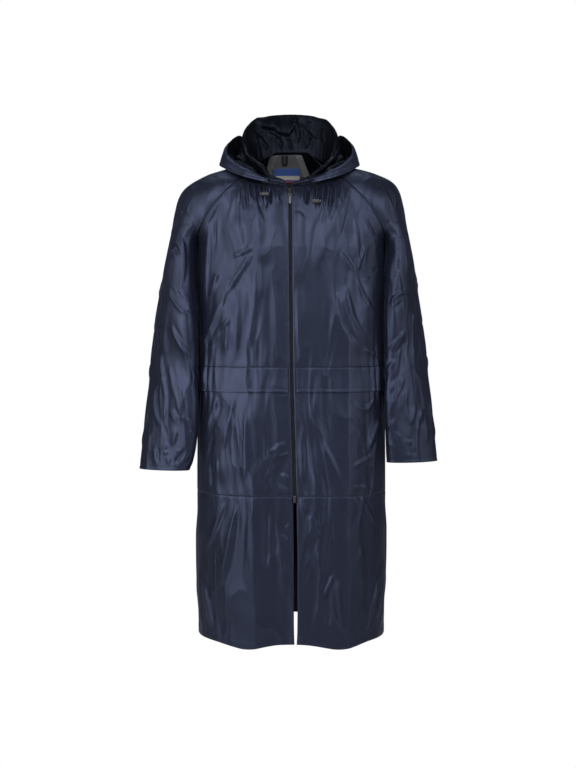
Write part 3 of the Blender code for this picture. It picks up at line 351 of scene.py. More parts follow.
# Creases on the front of the coat, in millimetres from one end to the other in x and z, with
# how far they bow, how wide and how high they are. A height below zero is a trough.
BODY_CREASES = creases(
    # chest right
    (-188, -143, -197, -343, 0, 5, 3.4), (-119, -60, -75, -164, -15, 6, 2.8),
    (-100, -60, -60, -152, 0, 6, 2.8), (-125, -64, -119, -160, 0, 6, 2.3),
    (-81, -201, -137, -227, 0, 6, 3.2), (-85, -210, -152, -314, 0, 8.5, 4.1),
    (-148, -302, -210, -448, 0, 8.5, 4.3), (-135, -364, -185, -408, 0, 5, 3),
    (-156, -389, -190, -431, 0, 5, 2.3), (-165, -252, -185, -314, 0, 7, 2.8),
    (-77, -185, -102, -452, -7, 11.9, 3.3), (-144, -348, -149, -452, 0, 8, 2.3),
    (-119, -327, -125, -448, 0, 7, 1.8), (-172, -127, -175, -214, 0, 4, -2.5),
    (-156, -72, -202, -160, 0, 8, 2.3), (-31, -393, -27, -464, 0, 6, 1.7),
    # under the hood
    (-101, -47, -92, -104, 0, 4.3, 6), (-89, -47, -76, -118, 0, 4.8, 7.1),
    (-77, -52, -64, -106, 0, 4.1, 6.6), (-111, -52, -103, -125, 0, 4.8, 6),
    (-66, -56, -58, -99, 0, 4.1, 6), (-51, -61, -46, -104, 0, 4.3, -6),
    (-35, -63, -30, -97, 0, 4.3, 5.5), (-121, -61, -115, -106, 0, 4.3, 5),
    (27, -63, 25, -99, 0, 4.1, 5.5), (40, -58, 36, -106, 0, 4.3, -6.6),
    (60, -54, 54, -113, 0, 4.3, 6.6), (75, -52, 68, -122, 0, 4.8, 7.1),
    (89, -49, 79, -113, 0, 4.3, 6.6), (104, -49, 95, -125, 0, 4.8, 6),
    (119, -52, 109, -104, 0, 4.3, 5.5), (132, -61, 125, -99, 0, 4.1, 4.3),
    # chest left
    (169, -127, 196, -212, 0, 5, 3.9), (176, -143, 194, -181, 0, 3.5, -3),
    (143, -118, 153, -247, 0, 7, 3), (107, -206, 145, -262, 0, 7, 3),
    (145, -262, 171, -191, 0, 6, 3), (146, -260, 201, -362, 9, 7, 3.4),
    (95, -275, 165, -431, 18, 7.6, -4.3), (123, -281, 173, -414, 12, 7.6, 3.3),
    (161, -431, 206, -450, 0, 7, 3.9), (11, -118, 30, -139, 0, 6, 1.8),
    (84, -77, 71, -156, 0, 6, 2.5), (108, -72, 83, -147, 0, 5, 2.5),
    (130, -77, 107, -181, 0, 7, 2.8), (185, -247, 199, -252, 0, 3.5, -2.3),
    (163, -279, 178, -266, 0, 4, 1.8), (11, -268, 17, -464, 0, 7.6, 1.8),
    # skirt right
    (-148, -771, -195, -897, 0, 6, 3.8), (-121, -771, -162, -975, 0, 11, 5.4),
    (-168, -536, -193, -626, 0, 10.2, 3.9), (-128, -532, -154, -666, 0, 10.2, 3.3),
    (-57, -615, -56, -689, 0, 4, -2.7), (-50, -664, -13, -638, 0, 5, 3.5),
    (-30, -679, -5, -660, 0, 4, 3.2), (-38, -685, -54, -724, 0, 4, 3),
    (-22, -709, -5, -722, 0, 4, 3.2), (-24, -732, -7, -756, 0, 4, 2.7),
    (-15, -834, 1, -820, 0, 4, 3), (-22, -842, -7, -866, 0, 5, 3),
    (-39, -811, -34, -897, 0, 6, -2.7), (-22, -877, -13, -991, 0, 8, 2.7),
    (-203, -952, -177, -1073, 0, 7, 4.1), (-168, -673, -167, -754, 0, 4, 2.4),
    (-187, -689, -184, -754, 0, 5, 2.2), (-50, -736, -71, -762, 0, 4, 2.4),
    (-148, -987, -142, -1081, 0, 7.6, 2.4), (-54, -775, -58, -932, 0, 10.2, -3.5),
    (-101, -564, -105, -752, 0, 11.9, 3.5),
    # skirt left
    (13, -732, 31, -807, 0, 7, 3.5), (40, -795, 62, -856, 0, 6, 3.5),
    (57, -860, 44, -1062, -16, 4, 3.5), (99, -926, 62, -1007, 0, 6, 4.3),
    (102, -928, 114, -1066, 0, 6, 4.1), (83, -964, 83, -1058, 0, 8.5, -2.6),
    (150, -752, 194, -834, 0, 5, 3.8), (136, -752, 170, -815, 0, 6, 2.7),
    (136, -740, 185, -748, 0, 5, 2.4), (210, -924, 168, -1073, 2, 7, 4.9),
    (64, -630, 109, -724, 0, 7.6, 2.4), (25, -595, 25, -736, 0, 8.5, 2.4),
    (138, -540, 191, -540, 29, 8, 3.5), (201, -587, 174, -666, 0, 8.5, 3.5),
    (134, -697, 189, -673, 0, 6, 2.4), (72, -771, 60, -842, 0, 5, 2.4),
    (154, -854, 160, -1011, 0, 10.2, 2.6),
)
SLEEVE_CREASES = creases(
    # sleeve right
    (-277, -180, -253, -220, 0, 5, -3.2), (-284, -190, -260, -230, 0, 5, 2.1),
    (-282, -288, -227, -360, 10, 6, 4.1), (-267, -292, -231, -343, 0, 5, -3),
    (-275, -368, -226, -453, 9, 6, 3.9), (-271, -385, -231, -533, -13, 7, 3.4),
    (-305, -436, -287, -549, 0, 7, 3), (-281, -457, -266, -549, 0, 6, 2.8),
    (-294, -385, -290, -448, 0, 8, 1.8), (-255, -156, -254, -309, -8, 7.6, 4.1),
    (-256, -110, -234, -129, 0, 4, -2.3), (-237, -334, -226, -353, 0, 4, 2.5),
    (-307, -292, -316, -436, 0, 7.6, 2.3), (-267, -122, -281, -182, 0, 8.5, 2),
    # forearm right
    (-311, -512, -294, -618, 13, 7, 3.2), (-288, -509, -289, -608, 0, 6, 2.8),
    (-291, -603, -286, -631, 0, 3, -2.8), (-267, -509, -254, -585, 0, 6, 3),
    (-257, -509, -246, -582, 0, 6, 3), (-278, -567, -260, -606, 0, 3.5, 3),
    (-271, -567, -257, -596, 0, 3.5, 2.5), (-260, -614, -272, -655, 0, 6, 3),
    (-251, -590, -240, -587, 0, 4, 2.3), (-242, -587, -228, -625, 0, 5, -3),
    (-237, -585, -225, -619, 0, 5, 2.3), (-299, -662, -281, -650, 0, 4, 2.1),
    (-297, -667, -278, -669, 0, 4, 2.1), (-238, -659, -267, -694, 0, 5, -4.6),
    (-232, -674, -256, -697, 0, 5, 3.4), (-314, -656, -311, -697, 0, 6, 2.5),
    (-305, -657, -303, -697, 0, 4, -2.3), (-281, -675, -279, -697, 0, 5, 2.3),
    (-263, -666, -244, -662, 0, 4, 2.1), (-326, -619, -329, -678, 0, 8, 1.8),
    # sleeve left
    (223, -336, 280, -302, -14, 5, 3.4), (229, -345, 257, -321, 0, 5, -2.3),
    (221, -440, 260, -389, 0, 6, 3.4), (235, -448, 263, -410, 0, 5, -2.3),
    (240, -249, 250, -313, 0, 7.6, 3.1), (216, -156, 224, -135, 0, 4, -2.3),
    (250, -419, 235, -504, 0, 8, 3), (284, -309, 282, -478, 0, 9.3, 2.8),
    (240, -501, 223, -533, 0, 4, 2.8), (257, -495, 240, -546, 0, 6, 2.5),
    (223, -182, 229, -288, 0, 7, 2.3), (257, -156, 269, -266, 0, 8.5, 2.3),
    (214, -487, 240, -453, 0, 5, 2.3),
    # forearm left
    (238, -503, 234, -569, 0, 8.5, 3.3), (254, -525, 249, -580, 0, 8, 2.3),
    (267, -517, 270, -606, 7, 7, 2.8), (285, -561, 272, -610, 0, 7, 2.8),
    (291, -578, 288, -628, 0, 6, 2.3), (235, -588, 232, -610, 0, 4, 3),
    (228, -620, 245, -641, 0, 3, -3.4), (234, -619, 250, -639, 0, 4, 3),
    (214, -647, 231, -643, 0, 3.5, -2.8), (218, -640, 238, -659, 0, 4, 3),
    (262, -634, 274, -640, 0, 4, -2.3), (261, -641, 277, -647, 0, 5, 2.3),
    (293, -605, 303, -606, 0, 4, -2.1), (282, -662, 283, -675, 0, 4, -2.1),
    (258, -674, 276, -676, 0, 4, 1.8), (299, -569, 298, -600, 0, 8, 2.1),
    (223, -600, 225, -618, 0, 4, 2.5), (308, -580, 313, -655, 0, 7.6, 2.3),
)

# Creases on the sides, from one end to the other in y and z
SIDE_CREASES = creases(
    (-60, -240, -10, -330, 8, 8, 2.6), (50, -230, 10, -300, 0, 7, 2.2),
    (-75, -350, -20, -395, -6, 6, 3), (-10, -380, 35, -352, 0, 5.5, -2.2),
    (-95, -450, -40, -520, 7, 7, 2.8), (-30, -440, 12, -500, 0, 8, 2.2),
    (-90, -560, -60, -640, 0, 6, 2.4), (-45, -545, -30, -650, 6, 8, 2.6),
    (-120, -600, -105, -660, 0, 5, -2), (0, -120, 20, -200, 0, 10, 1.8),
    (-35, -90, -50, -170, 0, 8, 2), (-90, -740, -60, -860, 10, 10, 3),
    (30, -730, 60, -880, -8, 11, 2.8), (-20, -780, -12, -1040, 6, 13, 3.4),
    (90, -800, 75, -1060, 0, 12, 3), (-70, -900, -85, -1070, 0, 9, 2.4),
    (40, -930, 30, -1075, 0, 8, -2), (-120, -820, -105, -960, 0, 8, 2.2),
)
# Creases on the hood's stand behind the neck, from one end to the other in x and z
STAND_CREASES = creases(
    (20, 118, 64, 66, 6, 7, 5), (-60, 88, -20, 40, -10, 7, 5.5),
    (-82, 86, -50, 44, 4, 6, 4), (10, 120, 16, 62, -4, 8, 6),
    (46, 92, 30, 48, -4, 6, 4.6), (52, 118, 40, 86, 4, 5, 3.6),
    (62, 76, 56, 44, 0, 5, 3.6), (-8, 78, 6, 44, 3, 6, 4),
    (-92, 96, -80, 56, 0, 5, 3.4), (76, 100, 80, 58, 0, 5, 3.4),
)
# The lower edge of the flap of cloth that falls forward behind the neck, in x and z
FALL_EDGE = [(-0.090, 0.122), (-0.069, 0.102), (-0.041, 0.099), (-0.028, 0.088), (-0.006, 0.084),
             (0.002, 0.094), (0.009, 0.106), (0.020, 0.122)]
FALL_TOP_Z, FALL_DEPTH = 0.132, 9.0 * MM
# Creases of the hood's sides, that run from the shoulders in to the front edges, in x and z
LOBE_CREASES = creases(
    (-112, 30, -45, -31, 6, 5, -6.4), (-125, 42, -59, -33, 7, 8, 6.4),
    (-138, 14, -66, -34, 5, 6, -6.6), (-150, 30, -138, -6, 0, 6, 4),
    (-120, 54, -102, 12, 4, 5, 4.6), (-98, 8, -58, -26, 3, 4, 4),
    (-131, 30, -106, 2, 4, 4.5, -4), (-90, -12, -52, -34, 2, 4, 3.6),
    (108, 26, 50, -30, -6, 5, -6.4), (120, 40, 62, -30, -7, 8, 6.4),
    (134, 12, 70, -32, -4, 6, -6.6), (142, 34, 128, 2, 0, 6, 4),
    (112, 52, 94, 14, -4, 5, 4.6), (90, 4, 56, -24, -3, 4, 4),
    (124, 26, 98, -4, -4, 4.5, -4.2), (82, -14, 48, -34, -2, 4, 3.6),
)


# ---------------------------------------------------------------- reading sizes

def read_table(rows, at):
    """The row of a table at a value of its first column, smooth between the rows given."""
    at = min(max(at, rows[0][0]), rows[-1][0])
    place = max(i for i in range(len(rows) - 1) if rows[i][0] <= at)
    low, high = rows[place], rows[place + 1]
    before, after = rows[max(place - 1, 0)], rows[min(place + 2, len(rows) - 1)]
    step = high[0] - low[0]
    t = (at - low[0]) / step
    values = [at]
    for b, l, h, a in zip(before[1:], low[1:], high[1:], after[1:]):
        slope_low = (h - b) / (high[0] - before[0]) * step
        slope_high = (a - l) / (after[0] - low[0]) * step
        values.append(l + t * slope_low
                      + t * t * (3 * (h - l) - 2 * slope_low - slope_high)
                      + t ** 3 * (2 * (l - h) + slope_low + slope_high))
    return type(low)(*values)


def ease(t):
    """0 to 1, level at both ends."""
    t = min(max(t, 0.0), 1.0)
    return t * t * (3 - 2 * t)


def steps(start, end, count):
    return [start + (end - start) * i / count for i in range(count + 1)]


@lru_cache(maxsize=None)
def on_line(line, level):
    """Point on one of the upper coat's lines, for the wearer's left side."""
    point = read_table(LINES[line], level)
    return Vector((point.x, point.y, point.z))


# ---------------------------------------------------------------- the coat's surface

def ridge_height(x, z, fold):
    """Height of a soft fold at a place on the cloth."""
    run_x, run_z = fold.x1 - fold.x0, fold.z1 - fold.z0
    off_x, off_z = x - fold.x0, z - fold.z0
    squared = run_x * run_x + run_z * run_z
    along = (off_x * run_x + off_z * run_z) / squared
    if not 0 < along < 1:
        return 0.0
    across = (off_x * run_z - off_z * run_x) / math.sqrt(squared) / fold.width
    return fold.height * ease(4 * along) * ease(4 * (1 - along)) * math.exp(-across * across)


def crease_height(x, z, crease):
    """Height of a press crease, sharp along its line and running out through the hem."""
    down = min(max((crease.z0 - z) / (crease.z0 - crease.z1), 0.0), 1.0)
    off = abs(x - (crease.x0 + (crease.x1 - crease.x0) * down)) / crease.width
    return crease.height * ease(down * 8) * max(0.0, 1 - off)


def gather_height(front, share, z):
    """Elastic gathers at the side of the waist, as waves across the cloth."""
    if not GATHER_START < share < GATHER_END:
        return 0.0
    across = (share - GATHER_START) / (GATHER_END - GATHER_START)
    sway = 0.9 * noise.noise(Vector((z * 20, share * 4, 2))) + (z - WAIST_SEAM_Z) * 6
    wave = -math.cos(across * GATHERS[front] * 2 * math.pi + sway)
    wave *= 0.6 + 0.8 * noise.noise(Vector((share * 10, z * 16, 4)))
    near = math.exp(-((z - WAIST_SEAM_Z + 0.020) / GATHER_REACH) ** 2)
    return GATHER_DEPTH * near * wave * ease(4 * across) * ease(6 * (1 - across))


def body_line(front, level):
    """Depth at the centre, its height, the row's end point and its squareness, at a level."""
    if level <= 0:
        row = read_table(BODY, ARMPIT_Z + level)
        depth = row.front if front else row.back
        return depth, row.z, Vector((row.half_width, 0, row.z)), BODY_SQUARENESS
    centre = on_line("centre front" if front else "centre back", level)
    end = on_line("front raglan" if front else "back raglan", level)
    square = BODY_SQUARENESS + (NECK_SQUARENESS - BODY_SQUARENESS) * ease(level)
    return abs(centre.y), centre.z, end, square


@lru_cache(maxsize=None)
def row_shape(front, level):
    """A row's squared-off ellipse: depth, centre height, end point, squareness, half width, turn."""
    depth, centre_z, end, square = body_line(front, level)
    end_share = abs(end.y) / depth
    half_width = end.x / (1 - end_share ** square) ** (1 / square)
    turn = math.acos(end_share ** (square / 2))
    return depth, centre_z, end, square, half_width, turn


def body_surface(front, side, level, share):
    """Point on the coat's outer surface."""
    share = min(share, 1 - SIDE_SHARE - SEAM_SHARE * ease(level * 10))
    depth, centre_z, end, square, half_width, turn = row_shape(front, level)
    x = half_width * math.sin(share * turn) ** (2 / square)
    y = depth * math.cos(share * turn) ** (2 / square)
    z = centre_z + (end.z - centre_z) * share * share
    outward = Vector((x ** (square - 1) / half_width ** square,
                      y ** (square - 1) / depth ** square)).normalized()
    edge = front_edge(side, z) if front else 0.0
    across = edge + (end.x - edge) * x / end.x
    height = sum(ridge_height(side * across, z, fold) for fold in (FRONT_FOLDS if front else BACK_FOLDS))
    if front:
        height += crease_height(side * across, z, PRESS_CREASES[side])
    height *= ease((1 - share) * 7) * ease((1 - level) * 6)
    height += gather_height(front, share, z)
    droop = HEM_DROOP * math.exp(-((across - DROOP_X) / DROOP_WIDTH) ** 2) * ease((DROOP_TOP_Z - z) / 0.20)
    across += outward.x * height
    y += outward.y * height
    return Vector((side * across, -y if front else y, z - droop))


def front_edge(side, z):
    """How far a front edge lies from the coat's middle, towards its own side."""
    row = read_table(FRONT_EDGE, z)
    return side * row.zip_x + (row.left_gap if side == LEFT else row.right_gap)


def share_at(front, side, level, x):
    """The share at which a row is a distance x from the middle, folds left out."""
    _, centre_z, end, square, half_width, turn = row_shape(front, level)
    edge = front_edge(side, centre_z) if front else 0.0
    x = max(x - edge, 0.0) * end.x / (end.x - edge)
    return math.asin(min(x / half_width, 1.0) ** (square / 2)) / turn


def moved_out(surface, level, share, out):
    """A point of a surface moved along its normal; outwards is away from the coat's axis."""
    tiny = 0.002
    point = surface(level, share)
    rise = surface(level + tiny, share) - surface(level - tiny, share)
    run = surface(level, share + tiny) - surface(level, share - tiny)
    normal = rise.cross(run).normalized()
    if normal.dot(Vector((point.x, point.y, 0.05))) < 0:
        normal.negate()
    return point + normal * out


def body_point(front, side, level, share, out=0.0):
    """Point on the coat's outer surface, or moved out from it by a distance."""
    if not out:
        return body_surface(front, side, level, share)
    share = min(max(share, 0.004), 0.996)
    level = min(level, 0.996)
    return moved_out(lambda up, along: body_surface(front, side, up, along), level, share, out)


# ---------------------------------------------------------------- sleeves

@lru_cache(maxsize=None)
def sleeve_ring(side, level):
    return read_table(SLEEVE[side], level)


def ring_point(side, level, turn):
    """Point and normal of a sleeve under the armpit, as if it were the left one."""
    ring = sleeve_ring(side, level)
    lean = math.radians(ring.turn)
    angle = 2 * math.pi * turn
    outward = Vector((math.cos(lean), -math.sin(lean), 0)) * -math.cos(angle)
    forward = Vector((math.sin(lean), math.cos(lean), 0)) * -math.sin(angle)
    point = Vector((ring.x, ring.y, ARMPIT_Z + level))
    point += outward * ring.short_half + forward * ring.long_half
    return point, (outward + forward).normalized()


def shoulder_point(level, turn):
    """Point and normal of the left sleeve above the armpit, between its raglan seams."""
    before = turn <= 0.5
    facing = -1 if before else 1
    ridge = on_line("shoulder ridge", level)
    seam = on_line("front raglan" if before else "back raglan", level)
    span = Vector((ridge.x - seam.x, 0, ridge.z - seam.z))
    reach = abs(seam.y - ridge.y)
    slim = ease((level - 0.30) / 0.50)
    depth = max(reach, ARM_DEPTH * (1 - slim) + reach * slim)
    start = math.asin(min(reach / depth, 1.0))
    angle = start + (math.pi - start) * (turn if before else 1 - turn) * 2
    point = ridge - span / (1 + math.cos(start)) * (1 + math.cos(angle))
    point.y = ridge.y + facing * depth * math.sin(angle)
    normal = span.normalized() * -math.cos(angle) + Vector((0, facing * math.sin(angle), 0))
    return point, normal.normalized()


def sleeve_point(side, level, turn):
    """Point on a sleeve. Turn runs from its inner side forwards, out and back round."""
    point, normal = ring_point(side, level, turn) if level <= 0 else shoulder_point(level, turn)
    height = sum(arm_fold_height(turn, level, fold) for fold in ARM_FOLDS)
    from_inside = min(turn, 1 - turn)
    above = ease((level + 0.09) / 0.09)
    height *= ease(from_inside * 10) * above + ease((from_inside - 0.12) * 6) * (1 - above)
    point += normal * height * ease((0.85 - level) * 5)
    hung = ease(-level / 0.14)
    free = 0.8 * ease(2 * from_inside) * (1 - ease((level - 0.55) / 0.4))
    point.x += ARM_OUT[side] * free * (1 - hung) + SEAM_CLEAR * (1 - 0.4 * ease((level - 0.75) * 4))
    point.z -= ARM_DROP[side] * (hung + (1 - hung) * free)
    point.x *= side
    return point


def arm_fold_height(turn, level, fold):
    """Height of a sleeve fold. A turn is scaled to metres by the sleeve's girth."""
    run = Vector(((fold.turn1 - fold.turn0) * GIRTH, fold.level1 - fold.level0))
    off = Vector(((turn - fold.turn0) * GIRTH, level - fold.level0))
    along = off.dot(run) / run.length_squared
    across = abs(off.x * run.y - off.y * run.x) / run.length
    return fold.height * ease(3 * along) * ease(3 * (1 - along)) * math.exp(-(across / fold.width) ** 2)


# ---------------------------------------------------------------- hood

def neckline(share):
    """Point on the left side's neckline. Share runs from centre back to the front edge."""
    back_part, front_part = 0.20, 0.60
    if share <= back_part:
        return body_point(False, LEFT, 1.0, share / back_part)
    if share >= front_part:
        return body_point(True, LEFT, 1.0, 1 - (share - front_part) / (1 - front_part))
    along = (share - back_part) / (front_part - back_part)
    return sleeve_point(LEFT, 1.0, 1 - along)


@lru_cache(maxsize=None)
def neckline_towards(angle):
    """Point on the left side's neckline in a direction, in degrees from straight back."""
    low, high = 0.0, 1.0
    for _ in range(30):
        middle = (low + high) / 2
        point = neckline(middle)
        if math.degrees(math.atan2(point.x, point.y)) < angle:
            low = middle
        else:
            high = middle
    return point


@lru_cache(maxsize=None)
def hood_route(angle):
    """The hood's section in a direction, from the neck seam to the rim."""
    row = read_table(HOOD, angle)
    seam = neckline_towards(angle)
    seam_r = math.hypot(seam.x, seam.y)
    seam_z = seam.z + HOOD_SEAM_GAP
    bend = HOOD_BEND * ease((row.ridge_z - row.trough_z) / 0.25)
    return [
        Point(0, seam_r, 0, seam_z),
        Point(1, seam_r + 0.35 * (row.ridge_r - seam_r), 0, seam_z + 0.55 * (row.ridge_z - seam_z)),
        Point(2, row.ridge_r, 0, row.ridge_z),
        Point(3, row.ridge_r + 0.45 * (row.trough_r - row.ridge_r), 0,
              row.ridge_z + 0.45 * (row.trough_z - row.ridge_z)),
        Point(3.7, row.trough_r - bend, 0, row.trough_z + bend),
        Point(4, row.trough_r, 0, row.trough_z),
        Point(4.3, row.trough_r + bend, 0, row.trough_z + 0.7 * bend),
        Point(5, row.trough_r + 0.80 * (row.rim_r - row.trough_r), 0,
              row.trough_z + 0.40 * (row.rim_z - row.trough_z)),
        Point(6, row.rim_r, 0, row.rim_z),
    ]


def hood_point(side, angle, path):
    """Point on the hood. Angle is the direction from straight back, path runs from seam to rim."""
    at = read_table(hood_route(angle), path)
    lean = 1 + (HOOD_LEAN[side] - 1) * ease(path / 2)
    heading = math.radians(angle)
    return Vector((side * at.x * math.sin(heading) * lean, at.x * math.cos(heading), at.z))


def casing_point(share, down):
    """Point on the turned-out face edge. Share is -1 to 1 from the right end to the left."""
    side = LEFT if share >= 0 else RIGHT
    angle = abs(share) * CASING_END
    row = read_table(HOOD, angle)
    radius = row.rim_r + CASING_STANDOFF + (row.hem_r - row.rim_r - CASING_STANDOFF) * down ** 0.8
    z = row.rim_z + 0.001 + (row.hem_z - row.rim_z) * down
    heading = math.radians(angle)
    return Vector((side * radius * math.sin(heading) * HOOD_LEAN[side], radius * math.cos(heading), z))


# ---------------------------------------------------------------- creases and edges of the cloth

SQUARE = 0.04                           # side of the squares that creases are looked up by
CREASE_REACH = 3.2                      # how many widths to either side a crease ends at


def crease_map(listed):
    """The creases by the square of cloth they reach, so that a point looks at only a few."""
    squares = {}
    for crease in listed:
        reach = CREASE_REACH * crease.width + abs(crease.bend)
        spans = []
        for low, high in (sorted((crease.x0, crease.x1)), sorted((crease.z0, crease.z1))):
            spans.append(range(math.floor((low - reach) / SQUARE), math.floor((high + reach) / SQUARE) + 1))
        for square in product(*spans):
            squares.setdefault(square, []).append(crease)
    return squares


def crease_relief(squares, x, z):
    """Height of the creases at a place: a ridge or trough with a shallow dip beside it."""
    height = 0.0
    for crease in squares.get((math.floor(x / SQUARE), math.floor(z / SQUARE)), ()):
        run_x, run_z = crease.x1 - crease.x0, crease.z1 - crease.z0
        length = math.hypot(run_x, run_z)
        off_x, off_z = x - crease.x0, z - crease.z0
        along = (off_x * run_x + off_z * run_z) / (length * length)
        if not 0 < along < 1:
            continue
        across = (off_x * run_z - off_z * run_x) / length - crease.bend * 4 * along * (1 - along)
        across /= 0.78 * crease.width * (0.55 + 0.45 * math.sin(math.pi * along))
        if abs(across) > CREASE_REACH:
            continue
        ends = ease(along * 3.5) * ease((1 - along) * 3.5)
        crest = math.exp(1.15 * (0.2 - math.sqrt(across * across + 0.04)))
        height += 1.2 * crease.height * ends * (crest - 0.35 * math.exp(-1.3 * (across + 1.5) ** 2))
    return height


def mirrored(listed):
    """The creases for the other face of the coat: mirrored, a little lower and softer."""
    return [crease._replace(x0=-crease.x0, x1=-crease.x1,
                            z0=crease.z0 - OTHER_FACE_DROP, z1=crease.z1 - OTHER_FACE_DROP,
                            width=crease.width * 1.15, height=crease.height * 0.9)
            for crease in listed]


CREASE_MAPS = {
    ("body", "front"): crease_map(BODY_CREASES),
    ("body", "back"): crease_map(mirrored(BODY_CREASES)),
    ("sleeve", "front"): crease_map(SLEEVE_CREASES),
    ("sleeve", "back"): crease_map(mirrored(SLEEVE_CREASES)),
    "side": crease_map(SIDE_CREASES),
    "stand": crease_map(STAND_CREASES),
    "lobes": crease_map(LOBE_CREASES),
}


def soft_waves(place):
    """Slow, mostly upright waves of thin cloth that hangs."""
    slow = noise.noise(Vector((place.x * 15, place.y * 15, place.z * 4.0)))
    quick = noise.noise(Vector((place.x * 46 + 7, place.y * 46, place.z * 14)))
    return SLOW_WAVE * slow + QUICK_WAVE * quick


def hanging_relief(kind, place, normal):
    """Height of the creases and waves of a body or sleeve piece."""
    lower = 0.0 if place.x > 0 else LOWER_ON_RIGHT
    height = soft_waves(place)
    for facing, key, along, z in ((-normal.y * 1.6, (kind, "front"), place.x, place.z),
                                  (normal.y * 1.6, (kind, "back"), place.x, place.z),
                                  ((abs(normal.x) - 0.5) * 2.5, "side", place.y, place.z + lower)):
        if facing > 0:
            height += ease(facing) * crease_relief(CREASE_MAPS[key], along, z)
    return height


def body_relief(place, normal, level, share, across, up):
    """Relief of the fronts and the back, smooth where a sleeve hangs beside them."""
    height = hanging_relief("body", place, normal)
    beside = ease((abs(place.x) - BESIDE_X) / 0.015) * ease((place.z - BESIDE_Z) / 0.03)
    return height * (1 - beside) + SMOOTH * beside


def sleeve_relief(place, normal, level, turn, across, up):
    """Relief of a sleeve, smooth on the side that hangs against the body."""
    height = hanging_relief("sleeve", place, normal)
    from_inside = min(turn, 1 - turn)
    inner = ease((0.12 - from_inside) / 0.05) * ease(-level / 0.02)
    under_arm = math.exp(-((level - UNDER_ARM) / UNDER_ARM_HALF) ** 2) * ease((0.17 - from_inside) / 0.14)
    return height * (1 - inner) + SMOOTH * inner + UNDER_ARM_HEIGHT * under_arm


def edge_relief(kind, away, beside, seed):
    """Height of the cloth a distance away from one of its edges; beside runs along the edge."""
    if kind == "open":
        return 0.0
    if kind == "seam":
        dip = -SEAM_DIP * math.exp(-(away / SEAM_SOFT) ** 2)
        pucker = noise.noise(Vector((beside / 7.5, seed, away / 30)) / MM)
        return dip + PUCKER * pucker * math.exp(-away / PUCKER_REACH) * ease(away / (3 * MM))
    inset = HEM_INSET[kind]
    stitched = math.exp(-((away - inset) / HEM_DIP_WIDTH) ** 2)
    pucker = noise.noise(Vector((beside / 9, seed, away / 40)) / MM)
    return (HEM_FOLD * (1 - ease((away - inset) / (2 * MM) + 0.5)) - HEM_DIP * stitched
            + HEM_PUCKER * pucker * math.exp(-abs(away - inset) / HEM_PUCKER_REACH))


# ---------------------------------------------------------------- laying cloth

Laid = namedtuple("Laid", "spots normals across up")
LAID = {}                               # the laid pieces by name, for the stitching


def stops(start, end, size, cell):
    """Stops from start to end over a strip of a size in metres, closer together near its ends."""
    near = [stop for stop in EDGE_STOPS if stop < size * 0.35]
    first, last = (near[-1], size - near[-1]) if near else (0.0, size)
    middle = steps(first, last, max(2, round((last - first) / cell)))
    places = [0.0] + near[:-1] + middle + [size - stop for stop in reversed(near[:-1])] + [size]
    if not near:
        places = middle
    return [start + (end - start) * place / size for place in places]


def own_piece(name, shell, finish, node=None, slot=None, inner=None):
    """A finished mesh as a piece of the coat, in place of the frame's node."""
    mesh = bpy.data.meshes.new(name)
    shell.to_mesh(mesh)
    shell.free()
    mesh.materials.append(FINISHES[finish])
    mesh.materials.append(FINISHES[inner or finish])
    mesh.shade_smooth()
    made = bpy.data.objects.new(name, mesh)
    bpy.context.scene.collection.objects.link(made)
    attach(made, "coat")
    if node:
        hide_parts(node)
    return made


def measured(grid, rows, columns):
    """How far each corner of a grid lies along its row and up its column."""
    across, up = {}, {}
    for row in range(rows):
        across[row, 0] = 0.0
        for column in range(1, columns):
            step = (grid[row, column].co - grid[row, column - 1].co).length
            across[row, column] = across[row, column - 1] + step
    for column in range(columns):
        up[0, column] = 0.0
        for row in range(1, rows):
            up[row, column] = up[row - 1, column] + (grid[row, column].co - grid[row - 1, column].co).length
    return across, up


